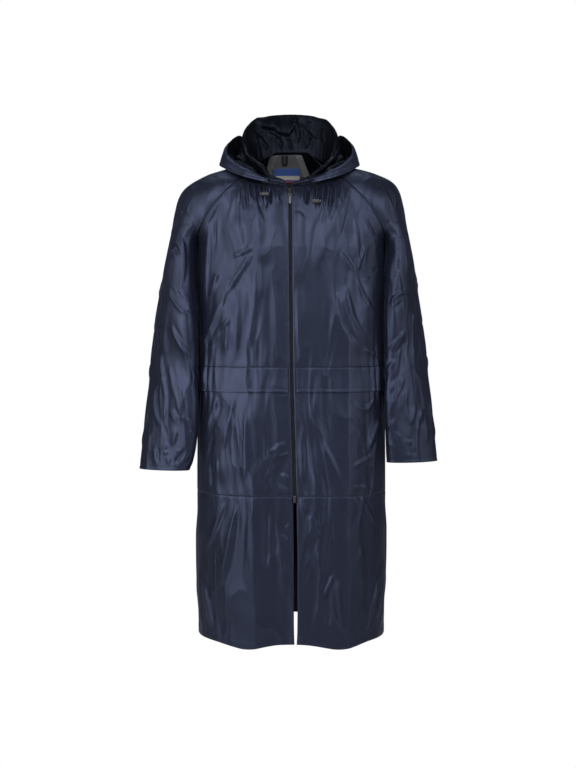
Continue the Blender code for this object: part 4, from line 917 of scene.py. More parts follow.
def lay_cloth(node, cloth, rows, columns, place, relief=None, ring=False, flip=False,
              edges=("open",) * 4, held="hung"):
    """Lay a piece of cloth over rows and columns of its outer surface, and thicken it inwards.

    The edges are those at the first and last row and at the first and last column. Relief
    gives the height of creases from a corner's place and normal; edges are added to it.
    """
    shell = bmesh.new()
    near_edge = shell.verts.layers.float.new("seam")
    last_row, last_column = len(rows) - 1, len(columns) - 1
    bmesh.ops.create_grid(shell, x_segments=last_column, y_segments=last_row, size=0.5)
    grid, spot = {}, {}
    for vert in shell.verts:
        key = round((vert.co.y + 0.5) * last_row), round((vert.co.x + 0.5) * last_column)
        grid[key], spot[vert] = vert, key
    for (row, column), vert in grid.items():
        vert.co = place(rows[row], columns[column])
    across, up = measured(grid, len(rows), len(columns))

    on_cloth = shell.loops.layers.uv.new("cloth")
    for face in shell.faces:
        for loop in face.loops:
            loop[on_cloth].uv = across[spot[loop.vert]], up[spot[loop.vert]]
    if ring:
        bmesh.ops.weld_verts(shell, targetmap={grid[row, last_column]: grid[row, 0]
                                               for row in range(last_row + 1)})
        for row in range(last_row + 1):
            grid[row, last_column] = grid[row, 0]
    if flip:
        bmesh.ops.reverse_faces(shell, faces=shell.faces)
    shell.normal_update()

    seed = len(LAID) * 13.7
    heights = {}
    for (row, column), vert in grid.items():
        away = (up[row, column], up[last_row, column] - up[row, column],
                across[row, column], across[row, last_column] - across[row, column])
        beside = (across[row, column],) * 2 + (up[row, column],) * 2
        kinds = edges[:2] if ring else edges
        height = 0.0
        if relief:
            height = relief(vert.co, vert.normal, rows[row], columns[column],
                            across[row, column], up[row, column])
        for kind, distance in zip(kinds, away):
            if kind != "open":
                height *= PRESSED_SHARE + (1 - PRESSED_SHARE) * ease(distance / PRESSED_REACH)
        for order, (kind, distance, run) in enumerate(zip(kinds, away, beside)):
            if distance < EDGE_REACH:
                height += edge_relief(kind, distance, run, seed + order)
        sewn = [distance for kind, distance in zip(kinds, away) if kind != "open"]
        vert[near_edge] = min(sewn, default=1.0)
        heights[vert] = height
    for vert, height in heights.items():
        vert.co += vert.normal * height
    area = sum(face.calc_area() for face in shell.faces)

    LAID[node] = Laid({key: vert.co.copy() for key, vert in grid.items()},
                      {key: vert.normal.copy() for key, vert in grid.items()}, across, up)
    made = own_piece(f"{node}_cloth", shell, cloth.finish, node=node, slot=cloth.slot, inner=cloth.inner)
    thick = made.modifiers.new("wall", "SOLIDIFY")
    thick.thickness = cloth.wall
    thick.offset = -1
    thick.material_offset = 1
    width = max(across[row, last_column] for row in range(last_row + 1))
    length = max(up[last_row, column] for column in range(last_column + 1))
    if held:
        min(area, width * length)
    return made


# ---------------------------------------------------------------- coat

def strip_stops(top, bottom, cell):
    """Levels under the armpit, from a bottom height to a top height."""
    return stops(bottom - ARMPIT_Z, top - ARMPIT_Z, top - bottom, cell)


def past_armpit(low, cell):
    """Levels from one under the armpit up past it to the neckline, with few close beside it."""
    under = [level for level in stops(low, 0.0, -low, cell) if level < ARMPIT_CLEAR]
    over = [level for level in stops(0.0, 1.0, YOKE_HEIGHT, cell) if level == 0 or level > YOKE_CLEAR]
    return under + ARMPIT_LEVELS + over


def half_columns(cell):
    return stops(0.0, 1.0, HALF_BODY, cell)


def whole_columns(cell):
    """Shares across the whole back, with no close ones at its middle, where it has no seam."""
    half = [share for share in half_columns(cell) if share == 0 or share > 0.04]
    return [-share for share in reversed(half[1:])] + half


def back_surface(level, share, out=0.0):
    """Point on the whole back, with shares below zero on the wearer's right."""
    return body_point(False, LEFT if share >= 0 else RIGHT, level, abs(share), out)


def sewn_at_side(point, level, share):
    """The fronts and the back meet in the side seams."""
    if level <= 0 and abs(share) > 0.9999:
        point.y = 0.0
    return point


def widths(cell):
    """Rows and lower edge of each width of the body."""
    return {"upper": (past_armpit(WAIST_SEAM_Z - ARMPIT_Z, 1.2 * cell), "seam"),
            "middle": (strip_stops(WAIST_SEAM_Z, LOWER_SEAM_Z, 1.2 * cell), "seam"),
            "lower": (strip_stops(LOWER_SEAM_Z, HEM_Z, 1.2 * cell), "hem")}


def make_body():
    """The fronts have a finer mesh than the back, for their many thin creases."""
    fine, coarse = 0.80 * settings().cell, settings().cell
    for width, (rows, low) in widths(fine).items():
        for side, word in SIDES:
            lay_cloth(f"front_{width}_{word}", NYLON, rows, half_columns(fine),
                      lambda level, share: sewn_at_side(body_surface(True, side, level, share), level, share),
                      body_relief, flip=side == RIGHT, edges=(low, "seam", "front", "seam"))
    for width, (rows, low) in widths(coarse).items():
        lay_cloth(f"back_{width}", NYLON, rows, whole_columns(coarse),
                  lambda level, share: sewn_at_side(back_surface(level, share), level, share),
                  body_relief, flip=True, edges=(low, "seam", "seam", "seam"))


def make_waist_flaps():
    """The flaps that hang from the waist seam over the middle fronts."""
    cell = 0.8 * settings().cell
    top = WAIST_SEAM_Z - GAP / 2 - ARMPIT_Z
    rows = stops(top - FLAP_HEIGHT, top, FLAP_HEIGHT, cell)
    for side, word in SIDES:

        def place(level, share):
            lift = FLAP_LIFT * ease((top - level) / FLAP_HEIGHT) * (1 - 0.8 * ease((share - 0.55) * 3))
            return body_point(True, side, level, share, FRAME_WALL + GAP + lift)
        first = share_at(True, side, top, FLAP_START[side])
        lay_cloth(f"waist_flap_{word}", NYLON, rows, stops(first, 0.985, FLAP_WIDTH, cell), place,
                  body_relief, flip=side == RIGHT, edges=("flap", "seam", "front", "seam"))


def rounded_sleeve(side, level, turn):
    """Point on a sleeve, rounded off where its tube meets the shoulder."""
    if level > 0:
        turn = RAGLAN_SHARE + (1 - 2 * RAGLAN_SHARE) * turn
    point = sleeve_point(side, level, turn)
    height = level * (YOKE_HEIGHT if level > 0 else 1)
    near = ease(1.2 - abs(height - ROUNDED) / ROUNDED_HALF) * ease(min(turn, 1 - turn) / 0.06)
    if near > 0:
        around = [height + off * ROUNDED_STEP for off in (-3, -2, -1, 1, 2, 3)]
        around = [sleeve_point(side, beside / (YOKE_HEIGHT if beside > 0 else 1), turn)
                  for beside in around]
        point = point.lerp(sum(around, point) / 7, near)
    return point


def seamed_sleeve_relief(place, normal, level, turn, across, up):
    """Relief of a sleeve, pressed flat towards the raglan seams above the armpit."""
    height = sleeve_relief(place, normal, level, turn, across, up)
    seam = min(turn, 1 - turn) * GIRTH
    above = ease((level + 0.02) / 0.04)
    height *= 1 - above * (1 - ease(seam / (14 * MM)))
    return height - above * SEAM_DIP * math.exp(-(seam / SEAM_SOFT) ** 2)


def make_sleeves():
    cell = 0.9 * settings().cell
    rows = past_armpit(CUFF_LEVEL, 1.2 * cell)
    turns = stops(0.0, 1.0, GIRTH, GIRTH / round(GIRTH / cell))
    for side, word in SIDES:
        lay_cloth(f"sleeve_{word}", NYLON, rows, turns, lambda level, turn: rounded_sleeve(side, level, turn),
                  seamed_sleeve_relief, ring=True, flip=side == RIGHT, edges=("cuff", "seam", "open", "open"))


# ---------------------------------------------------------------- hood

def pleats(run, pitch, seed):
    """Uneven gathers along a seam, as a height from -1 to 1 at a distance along it."""
    place = run / pitch + 0.9 * noise.noise(Vector((run / (3.1 * pitch), seed, 0)))
    size = 0.65 + 0.5 * noise.noise(Vector((run / (1.7 * pitch), seed + 5, 0)))
    return math.sin(2 * math.pi * place) * size


def fallen_cloth(x, z):
    """The flap behind the neck stands out towards its lower edge, and drops back under it."""
    if not FALL_EDGE[0][0] < x < FALL_EDGE[-1][0]:
        return 0.0
    for (x0, z0), (x1, z1) in zip(FALL_EDGE, FALL_EDGE[1:]):
        if x <= x1:
            edge = z0 + (z1 - z0) * ease((x - x0) / (x1 - x0))
            break
    ends = ease((x - FALL_EDGE[0][0]) / 0.020) * ease((FALL_EDGE[-1][0] - x) / 0.012)
    if z < edge:
        return FALL_DEPTH * ends * ease(1 - (edge - z) / (5 * MM))
    return FALL_DEPTH * ends * ease((FALL_TOP_Z - z) / max(FALL_TOP_Z - edge, 0.01) * 1.1)


def hood_relief(side):
    """The relief of one half of the hood: gathers at its seams and folds between them."""
    def relief(place, normal, path, angle, across, up):
        run = side * math.radians(angle) * HOOD_RADIUS
        height = 0.8 * soft_waves(place)
        height += NECK_GATHER * pleats(run, NECK_PITCH, 1) * ease((1.3 - path) / 1.1)
        height += RIM_GATHER * pleats(run, RIM_PITCH, 2) * ease((path - 4.8) / 1.0)
        stand = ease(1.2 - abs(path - 1.1) / 0.9) * ease((105 - angle) / 25)
        height += STAND_FOLD * noise.noise(Vector((run / 0.014 + 0.9 * path, 0.6 * path, 5.0))) * stand
        height += STAND_WRINKLE * noise.noise(Vector((run / 0.006, 1.4 * path, 9.0))) * stand
        if path < 2.3 and place.y > 0:
            height -= crease_relief(CREASE_MAPS["stand"], place.x, place.z)
            height -= fallen_cloth(place.x, place.z)
        if 1.6 < path < 5.0:
            height += ease((path - 1.6) / 0.4) * crease_relief(CREASE_MAPS["lobes"], place.x, place.z)
        lobe = ease((angle - 40) / 20) * ease((path - 1.2) / 0.8)
        height += LOBE_FOLD * lobe * noise.noise(Vector((up * 18, angle / 36, 3.0)))
        height += LOBE_WRINKLE * lobe * noise.noise(Vector((up * 50, angle / 18, 6.0)))
        front = ease((angle - 100) / 18)
        height += END_FOLD * front * noise.noise(Vector((run / 0.009, up / 0.016, 8.0)))
        return height * ease(path / 0.30) * ease((HOOD_RIM - path) / 0.30)
    return relief


def sewn_hood(side, angle, path):
    """Point on the hood, tucked into the neck seam."""
    point = hood_point(side, angle, path)
    point.z -= HOOD_TUCK * ease(1 - path / 0.25)
    return point


def folded_casing(share, down):
    """Point on the casing, folded in over the hood's rim."""
    point = casing_point(share, down)
    inward = Vector((-point.x, -point.y, 0)).normalized()
    return point + inward * (CASING_STANDOFF + CASING_TUCK) * ease(1 - down / 0.16)


def casing_relief(place, normal, down, share, across, up):
    """Relief of the casing: ruched round the sides, and more closely towards its ends."""
    ruched = CASING_RUCHE * pleats(across, CASING_PITCH, 4) * ease((abs(share) - 0.25) / 0.3 + 0.4)
    ruched += END_RUCHE * pleats(across, END_PITCH, 9) * ease((abs(share) - 0.74) / 0.12)
    return 0.5 * soft_waves(place) + ruched * ease(down * 3) * ease((1 - down) * 2 + 0.3)


def make_hood():
    cell = settings().cell
    path = stops(0.0, HOOD_RIDGE, HOOD_STAND, cell)[:-1]
    path += steps(HOOD_RIDGE, HOOD_TROUGH, round(HOOD_FALL / cell))[:-1]
    path += stops(HOOD_TROUGH, HOOD_RIM, HOOD_RISE, cell)
    for side, word in SIDES:
        lay_cloth(f"hood_{word}", NYLON, path, stops(0.0, HOOD_END[side], HOOD_ROUND, cell),
                  lambda along, angle: sewn_hood(side, angle, along), hood_relief(side),
                  flip=side == LEFT, edges=("seam", "open", "open", "seam"), held="gathered")
    lay_cloth("hood_casing", TURNED_NYLON, stops(0.0, 1.0, CASING_SIZE[1], cell * 0.7),
              stops(-1.0, 1.0, CASING_SIZE[0], cell * 0.8), lambda down, share: folded_casing(share, down),
              casing_relief, edges=("open", "casing", "open", "open"), held="gathered")


# ---------------------------------------------------------------- inside the neck

def inside_point(level, x, depth):
    """Point inside the upper back, at a level and a distance from the middle."""
    share = math.copysign(share_at(False, LEFT, level, abs(x)), x)
    return back_surface(level, share, -(FRAME_WALL + GAP + depth))


def mesh_point(level, share):
    """The mesh is a panel that widens down the back, a little to the wearer's right."""
    down = (MESH_TOP - level) / 0.15
    right, left = -0.0525 - 0.012 * down, 0.026 + 0.019 * down
    return inside_point(level, right + (left - right) * share, 0.0)


def on_mesh(level, x):
    """Point where the label and the loop lie on the mesh."""
    return inside_point(level, x, TRIM_WALL + 2 * GAP)


def loop_point(along, across):
    """The loop's tape runs down, round and up again; across is from its middle line."""
    radius = LOOP_RADIUS + across
    if along < LOOP_LEG:
        x, down = -radius, along
    elif along < LOOP_LEG + LOOP_BEND:
        angle = (along - LOOP_LEG) / LOOP_RADIUS
        x, down = -radius * math.cos(angle), LOOP_LEG + radius * math.sin(angle)
    else:
        x, down = radius, 2 * LOOP_LEG + LOOP_BEND - along
    return on_mesh(LOOP_TOP - down * LEVEL_PER_METRE, LOOP_X + x)


def make_neck():
    cell, fine = settings().cell, 2 * MM
    lay_cloth("back_neck_mesh", MESH, stops(MESH_LOW, MESH_TOP, MESH_SIZE[1], cell),
              stops(0.0, 1.0, MESH_SIZE[0], cell), mesh_point, flip=True,
              edges=("open", "open", "seam", "seam"))
    lay_cloth("neck_label", LABEL, stops(*LABEL_LEVELS, LABEL_SIZE[1], fine),
              stops(*LABEL_X, LABEL_SIZE[0], fine), on_mesh, flip=True)
    lay_cloth("hanger_loop", LOOP, steps(0.0, 2 * LOOP_LEG + LOOP_BEND, 60),
              steps(-LOOP_TAPE / 2, LOOP_TAPE / 2, 4), loop_point, flip=True, held=None)


# ---------------------------------------------------------------- zip

def zip_line(level):
    """Point on the coat's outer surface over the zip's line, and the line's tilt there."""
    depth, z, _, _ = body_line(True, level)
    low, high = body_line(True, level - 0.02), body_line(True, level + 0.02)
    tilt = math.atan2(low[0] - high[0], high[1] - low[1])
    return Vector((read_table(FRONT_EDGE, z).zip_x, -depth, z)), tilt


def spread(side, middle):
    """How far the front edge stands away from where it lies on the closed zip."""
    return max(0.0, front_edge(side, middle.z) - side * middle.x - ZIP_HALF_OPEN)


def zip_point(side, level, off, out):
    """Point beside the zip's line, off it sideways and out from the coat's outer surface."""
    middle, tilt = zip_line(level)
    return middle + Vector((side * (off + spread(side, middle)), -math.cos(tilt) * out,
                            math.sin(tilt) * out))


def make_zip():
    """Two tapes under the front edges, and the row of teeth on each."""
    start, sunk = ZIP_END_Z - ARMPIT_Z, FRAME_WALL + 2 * GAP
    across, along, deep = TOOTH
    rows = steps(start, 0.0, 150)[:-1] + steps(0.0, ZIP_TOP, 60)
    for side, word in SIDES:
        lay_cloth(f"zip_tape_{word}", ZIP_TAPE, rows, [TEETH_HALF_GAP, *TAPE_COLUMNS, TAPE_WIDTH],
                  lambda level, off: zip_point(side, level, off, -sunk), flip=side == RIGHT)
        teeth, level = bmesh.new(), start
        while level < ZIP_TOP:
            place = zip_point(side, level, TEETH_HALF_GAP + across / 2, deep / 2 - sunk)
            tilt = Matrix.Rotation(-zip_line(level)[1], 3, "X")
            shape = Matrix.LocRotScale(place, tilt, Vector((across, deep, along)))
            bmesh.ops.create_cube(teeth, size=1, matrix=shape)
            level += TOOTH_PITCH * (1.0 if level < 0 else level_rate(level))
        bmesh.ops.bevel(teeth, geom=teeth.edges[:], offset=TOOTH_BEVEL, segments=1, profile=0.5,
                        affect="EDGES", material=-1)
        own_piece(f"zip_teeth_{word}", teeth, "dark teeth", slot="black_tape")


def level_rate(level):
    """Levels to a metre along the zip, above the armpit."""
    low, high = body_line(True, level), body_line(True, level + 0.01)
    return 0.01 / math.hypot(high[0] - low[0], high[1] - low[1])


# ---------------------------------------------------------------- drawcords

def smooth_route(points, spacing):
    """Points at a spacing along a smooth curve through a route's points."""
    rows, run = [], 0.0
    for place, point in enumerate(points):
        if place:
            run += (Vector(point) - Vector(points[place - 1])).length
        rows.append(Point(run, *point))
    return [Vector(read_table(rows, at)[1:]) for at in steps(0.0, run, round(run / spacing))]


def make_tube(name, finish, route, radius, turns, slot, node=None):
    """A round cord along a route, closed at both ends, with a braid's UV map."""
    shell = bmesh.new()
    ends = [(0, 0.02), (0, 0.6)], [(-1, 0.6), (-1, 0.02)]
    rings = ends[0] + [(place, 1.0) for place in range(1, len(route) - 1)] + ends[1]
    bmesh.ops.create_grid(shell, x_segments=turns, y_segments=len(rings) - 1, size=0.5)
    on_cord = shell.loops.layers.uv.new("cloth")
    frames, side = [], Vector((1, 0, 0))
    for place in range(len(route)):
        ahead = (route[min(place + 1, len(route) - 1)] - route[max(place - 1, 0)]).normalized()
        side = (side - ahead * side.dot(ahead)).normalized()
        frames.append((side, ahead.cross(side)))
    spot = {}
    for vert in shell.verts:
        turn, ring = round((vert.co.x + 0.5) * turns), round((vert.co.y + 0.5) * (len(rings) - 1))
        spot[vert] = turn, ring
        place, size = rings[ring]
        angle = 2 * math.pi * turn / turns
        first, second = frames[place]
        vert.co = route[place] + (first * math.cos(angle) + second * math.sin(angle)) * radius * size
    for face in shell.faces:
        for loop in face.loops:
            turn, ring = spot[loop.vert]
            loop[on_cord].uv = turn / turns, ring * (route[1] - route[0]).length
    bmesh.ops.remove_doubles(shell, verts=shell.verts, dist=0.002 * MM)
    holes = [edge for edge in shell.edges if edge.is_boundary]
    bmesh.ops.holes_fill(shell, edges=holes, sides=0)
    bmesh.ops.recalc_face_normals(shell, faces=shell.faces)
    return own_piece(name, shell, finish, node=node, slot=slot)


def make_drawcords():
    """Each end of the drawcord, hanging from its eyelet down through its cord lock."""
    for side, word in SIDES:
        route = smooth_route(CORD_ROUTE[side], 0.8 * MM)
        cord = make_tube(f"drawcord_{word}_braid", "black cord", route, CORD_RADIUS, 20, "black_cord",
                         node=f"drawcord_{word}")


# ---------------------------------------------------------------- stitching

def line_in(piece, edge, inset):
    """Places and normals along a line that runs a distance in from an edge of a laid piece."""
    rows, columns = (range(max(key[axis] for key in piece.spots) + 1) for axis in (0, 1))
    if edge in ("low", "high"):
        run, lines = piece.up, [[(row, column) for row in rows] for column in columns]
    else:
        run, lines = piece.across, [[(row, column) for column in columns] for row in rows]
    line = []
    for corners in lines:
        at = inset if edge in ("low", "first") else run[corners[-1]] - inset
        low, high = [pair for pair in zip(corners, corners[1:]) if run[pair[0]] <= at][-1]
        t = (at - run[low]) / (run[high] - run[low])
        line.append([part[low].lerp(part[high], t) for part in (piece.spots, piece.normals)])
    return line


def sew(stitches, line):
    """Add a stitch at each pitch along a line, half sunk in the cloth."""
    left = STITCH_PITCH / 2
    for (low, low_normal), (high, high_normal) in zip(line, line[1:]):
        run = high - low
        length = run.length
        while left < length:
            place = low.lerp(high, left / length)
            normal = low_normal.lerp(high_normal, left / length).normalized()
            ahead = run.normalized()
            beside = normal.cross(ahead).normalized()
            turn = Matrix((ahead, beside, normal)).transposed().to_4x4()
            shape = Matrix.Translation(place + normal * STITCH_RISE) @ turn @ Matrix.Diagonal((*STITCH, 1))
            bmesh.ops.create_icosphere(stitches, subdivisions=1, radius=1, matrix=shape)
            left += STITCH_PITCH
        left -= length


FRONTS = [f"front_{width}_{word}" for width in ("upper", "middle", "lower") for _, word in SIDES]
STITCHED = {                            # the laid pieces' edges and how far in each is sewn
    "body": [(name, "first", HEM_INSET["front"]) for name in FRONTS]
    + [(name, "low", SEAM_INSET) for name in FRONTS[:4] + ["back_upper", "back_middle"]]
    + [(name, "last", SEAM_INSET) for name in FRONTS[:2]]
    + [("back_upper", edge, SEAM_INSET) for edge in ("first", "last")],
    "hems": [(name, "low", HEM_INSET["hem"]) for name in FRONTS[4:] + ["back_lower"]]
    + [(f"sleeve_{word}", "low", HEM_INSET["cuff"]) for _, word in SIDES]
    + [(f"waist_flap_{word}", "low", HEM_INSET["flap"]) for _, word in SIDES],
    "hood": [("hood_casing", "high", HEM_INSET["casing"])]
    + [(f"hood_{word}", "low", SEAM_INSET) for _, word in SIDES],
}


def make_stitching():
    for group, lines in STITCHED.items():
        stitches = bmesh.new()
        for name, edge, inset in lines:
            sew(stitches, line_in(LAID[name], edge, inset))
        own_piece(f"stitching_{group}", stitches, "navy thread", slot="navy_nylon")


# ---------------------------------------------------------------- finishes

class Maths:
    """A node's output, on which Python's own operators add their Math nodes."""

    def __init__(self, tree, socket):
        self.tree = tree
        self.socket = socket

    def maths(self, operation, *others, clamp=False):
        return add_node(self.tree, "Math", {"operation": operation, "use_clamp": clamp}, (self, *others))

    def __add__(self, other):
        return self.maths("ADD", other)

    def __sub__(self, other):
        return self.maths("SUBTRACT", other)

    def __rsub__(self, other):
        return self * -1 + other

    def __mul__(self, other):
        return self.maths("MULTIPLY", other)

    def __lt__(self, other):
        return self.maths("LESS_THAN", other)

    __radd__ = __add__
    __rmul__ = __mul__

    def __neg__(self):
        return self * -1

    def __abs__(self):
        return self.maths("ABSOLUTE")

    def sine(self):
        return self.maths("SINE")

    def clamped(self):
        return self.maths("MULTIPLY", 1.0, clamp=True)


def feed(socket, value):
    """Link another node's output to a socket, or set a constant on it."""
    if isinstance(value, Maths):
        value.tree.links.new(value.socket, socket)
    else:
        socket.default_value = value


def add_node(tree, kind, settings=None, sockets=(), output=0):
    """Add a shader node: its settings first, then the values or links of its sockets."""
    made = tree.nodes.new(f"ShaderNode{kind}")
    for name, value in (settings or {}).items():
        setattr(made, name, value)
    for place, value in (sockets.items() if isinstance(sockets, dict) else enumerate(sockets)):
        feed(made.inputs[place], value)
    return Maths(tree, made.outputs[output])


class Finish:
    """A material whose colour, roughness and relief are built up from patterns."""

    def __init__(self, name, **constants):
        self.material = bpy.data.materials.new(name)
        self.material.use_nodes = True
        self.tree = self.material.node_tree
        self.shader = self.tree.nodes["Principled BSDF"]
        self.relief = None
        FINISHES[name] = self.material
        self.give(**constants)

    def give(self, **sockets):
        """Set or link the shader's sockets, named in small letters with _ for each space."""
        for words, value in sockets.items():
            feed(self.shader.inputs[words.replace("_", " ").title().replace("Ior", "IOR")], value)

    def node(self, kind, settings=None, sockets=(), output=0):
        return add_node(self.tree, kind, settings, sockets, output)

    def along_cloth(self):
        """Distances across and up a piece of cloth, in metres."""
        across = self.node("SeparateXYZ", sockets=[self.node("UVMap", {"uv_map": "cloth"})])
        return across, Maths(self.tree, across.socket.node.outputs["Y"])

    def from_seam(self):
        """Distance from the nearest sewn edge, in metres."""
        return self.node("Attribute", {"attribute_name": "seam"}, output="Fac")

    def clouds(self, scale, detail=3.0, stretch=(1, 1, 1), warp=0.0):
        spot = self.node("TexCoord", output="Object")
        stretched = self.node("Mapping", sockets={"Vector": spot, "Scale": stretch})
        return self.node("TexNoise", sockets={"Vector": stretched, "Scale": scale, "Detail": detail,
                                              "Distortion": warp})

    def between(self, low, high, amount):
        """A colour on the way from one to another."""
        ends = [end if isinstance(end, Maths) else (*end, 1) for end in (low, high)]
        return self.node("Mix", {"data_type": "RGBA"}, {0: amount, 6: ends[0], 7: ends[1]}, output=2)

    def bump(self, height, distance, strength=1.0):
        """Add a relief over the ones so far; distance is the height of 1, in metres."""
        sockets = {"Height": height, "Distance": distance, "Strength": strength}
        if self.relief:
            sockets["Normal"] = self.relief
        self.relief = self.node("Bump", sockets=sockets)
        self.give(normal=self.relief)


FINISHES = {}
WEAVE_PITCH, HOLE_PITCH = 0.45 * MM, 2.4 * MM
WEAR_FADE = 260.0                       # to a metre from a seam
MESH_BORDER = 16 * MM
STRAND_TURN, STRAND_RUN = 10 * math.pi, 1500.0  # a strand's wave, to a turn round and a metre along the cord
LABEL_STRIPES = (                       # colour, middle's height and half the width
    ((0.62, 0.60, 0.56), 23.5 * MM, 5.2 * MM),
    ((0.42, 0.03, 0.035), 13.8 * MM, 1.6 * MM),
)
LABEL_DARK_END = 11.8 * MM
FITTINGS = {
    "zip_slider": "dark steel", "zip_pull_tab": "bright steel", "zip_bottom_box": "bright steel",
    "eyelet_right": "dark steel", "eyelet_left": "dark steel",
    "cord_lock_right": "grey plastic", "cord_lock_left": "grey plastic",
}


def waves(run, pitch):
    """A sine wave along a distance, at a pitch."""
    return (run * (2 * math.pi / pitch)).sine()


def shade(colour, share):
    return tuple(part * share for part in colour)


def make_nylon(navy, gloss):
    """Dark nylon, worn beside its seams, with crinkles, fine upright wrinkles and its weave."""
    nylon = Finish("navy nylon", roughness=0.56, specular_ior_level=gloss,
                   specular_tint=(0.50, 0.60, 1.0, 1), sheen_weight=0.06, sheen_roughness=0.4,
                   sheen_tint=(0.5, 0.62, 1.0, 1))
    worn = (nylon.from_seam() * -WEAR_FADE).maths("EXPONENT") * nylon.clouds(140.0, 2.0)
    tone = (nylon.clouds(9.0, 4.0) + 0.5 * worn).clamped()
    nylon.give(base_color=nylon.between(shade(navy, 0.80), shade(navy, 1.25), tone),
               roughness=0.40 + 0.08 * nylon.clouds(24.0, 3.0) + 0.05 * worn)
    nylon.bump(nylon.clouds(30.0, 3.0, (1, 1, 0.5), 0.4), 1.0 * MM, 0.5)
    nylon.bump(-abs(nylon.clouds(16.0, 1.5, (1, 1, 0.32), 0.6) - 0.5), 18 * MM, 0.8)
    nylon.bump(nylon.clouds(260.0, 2.0, (1, 1, 0.03)), 0.30 * MM, 0.5)
    nylon.bump(nylon.clouds(150.0, 3.0), 0.22 * MM, 0.5)
    across, up = nylon.along_cloth()
    nylon.bump(waves(across, WEAVE_PITCH) * waves(up, WEAVE_PITCH), 0.012 * MM)

    # The coated inside is darker than its coating alone. Its base colour, a fifth to two fifths of the navy,
    # is partly the coating's own colour and partly painted shade for the hollow of the hood and the coat's
    # insides.
    inside = Finish("coated inside with painted shade", roughness=0.42, specular_ior_level=0.16,
                    specular_tint=(0.6, 0.7, 1.0, 1))
    inside.give(base_color=inside.between(shade(navy, 0.2), shade(navy, 0.4), inside.clouds(30.0)))
    inside.bump(inside.clouds(60.0, 4.0), 0.6 * MM, 0.5)

    thread = Finish("navy thread", roughness=0.5, sheen_weight=0.3)
    thread.give(base_color=thread.between(shade(navy, 1.2), shade(navy, 2.4), thread.clouds(400.0)))
    thread.bump(thread.clouds(1500.0), 0.05 * MM)


def make_mesh():
    """Grey knit with open holes, and a paler border along its sewn sides."""
    knit = Finish("grey mesh", roughness=0.85, sheen_weight=0.1)
    across, up = knit.along_cloth()
    holes = abs(waves(across, HOLE_PITCH) * waves(up, HOLE_PITCH))
    yarn = knit.between((0.17, 0.17, 0.18), (0.30, 0.30, 0.31), knit.from_seam() < MESH_BORDER)
    knit.give(base_color=knit.between(yarn, (0.05, 0.05, 0.055), (holes * 1.4 - 0.45).clamped()))
    knit.bump(holes, -0.4 * MM)


def make_label():
    """Woven blue label with a cream stripe, a thin red one and a dark lower end."""
    label = Finish("blue label", roughness=0.55, sheen_weight=0.1)
    _, up = label.along_cloth()
    ground = (0.045, 0.12, 0.42)
    for colour, middle, half in LABEL_STRIPES:
        ground = label.between(ground, colour, abs(up - middle) < half)
    label.give(base_color=label.between(ground, (0.008, 0.010, 0.022), up < LABEL_DARK_END))
    label.bump(waves(up, 0.7 * MM), 0.06 * MM)


def make_tapes():
    """The hanger loop's ribbed tape, and the zip's tape and teeth."""
    tape = Finish("black tape", roughness=0.7)
    _, up = tape.along_cloth()
    tape.give(base_color=tape.between((0.006, 0.006, 0.008), (0.02, 0.02, 0.023), tape.clouds(200.0)))
    tape.bump(waves(up, 0.9 * MM), 0.12 * MM)

    zip_tape = Finish("zip tape", roughness=0.65, specular_ior_level=0.3)
    across, up = zip_tape.along_cloth()
    zip_tape.give(base_color=zip_tape.between((0.003, 0.004, 0.007), (0.009, 0.010, 0.016),
                                              zip_tape.clouds(160.0)))
    zip_tape.bump(waves(up, 0.8 * MM) * waves(across, 1.2 * MM), 0.08 * MM)

    teeth = Finish("dark teeth", roughness=0.40, specular_ior_level=0.35)
    teeth.give(base_color=teeth.between((0.006, 0.007, 0.010), (0.016, 0.018, 0.026), teeth.clouds(300.0)))
    teeth.bump(teeth.clouds(900.0), 0.04 * MM)


def make_braid():
    """Black cord of strands that cross over and under each other round it, with painted shade where they
    sink.
    """
    braid = Finish("black cord", roughness=0.6, specular_ior_level=0.08)
    turns, run = braid.along_cloth()
    across, along = turns * STRAND_TURN, run * STRAND_RUN
    strands = (across + along).sine() * (across - along).sine()
    # The colour darkens with the strands' relief, where they sink under each other: painted shade in the
    # braid's hollows.
    braid.give(base_color=braid.between((0.003, 0.003, 0.004), (0.012, 0.012, 0.015),
                                        (strands * 0.5 + 0.5).clamped()))
    braid.bump(strands, 0.18 * MM)


def make_metal_and_plastic():
    """Steel with a drawn grain in two tones, and the cord locks' plastic."""
    for name, tone, rough in (("dark steel", 0.10, 0.34), ("bright steel", 0.13, 0.36)):
        steel = Finish(name, roughness=rough, metallic=1.0)
        steel.give(base_color=steel.between((0.8 * tone,) * 3, (1.15 * tone,) * 3, steel.clouds(120.0, 5.0)),
                   roughness=(rough - 0.09) + 0.18 * steel.clouds(500.0, 4.0))
        steel.bump(steel.clouds(1200.0, 2.0, (1, 1, 0.08)), 0.02 * MM)

    plastic = Finish("grey plastic", roughness=0.36, specular_ior_level=0.55)
    plastic.give(base_color=plastic.between((0.035, 0.035, 0.04), (0.06, 0.06, 0.065), plastic.clouds(90.0)))
    plastic.bump(plastic.clouds(1300.0, 2.0), 0.03 * MM)


def make_finishes():
    """Every material, with the detail that its cloth, tape, metal or plastic shows."""
    make_nylon(tuple(settings().nylon), settings().gloss)
    make_mesh()
    make_label()
    make_tapes()
    make_braid()
    make_metal_and_plastic()


def make_fittings():
    """Slider, pull tab, bottom box, eyelets and cord locks, in their metals and plastic."""
    for node, finish in FITTINGS.items():
        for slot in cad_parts[node].material_slots:
            slot.material = FINISHES[finish]


# ---------------------------------------------------------------- stage

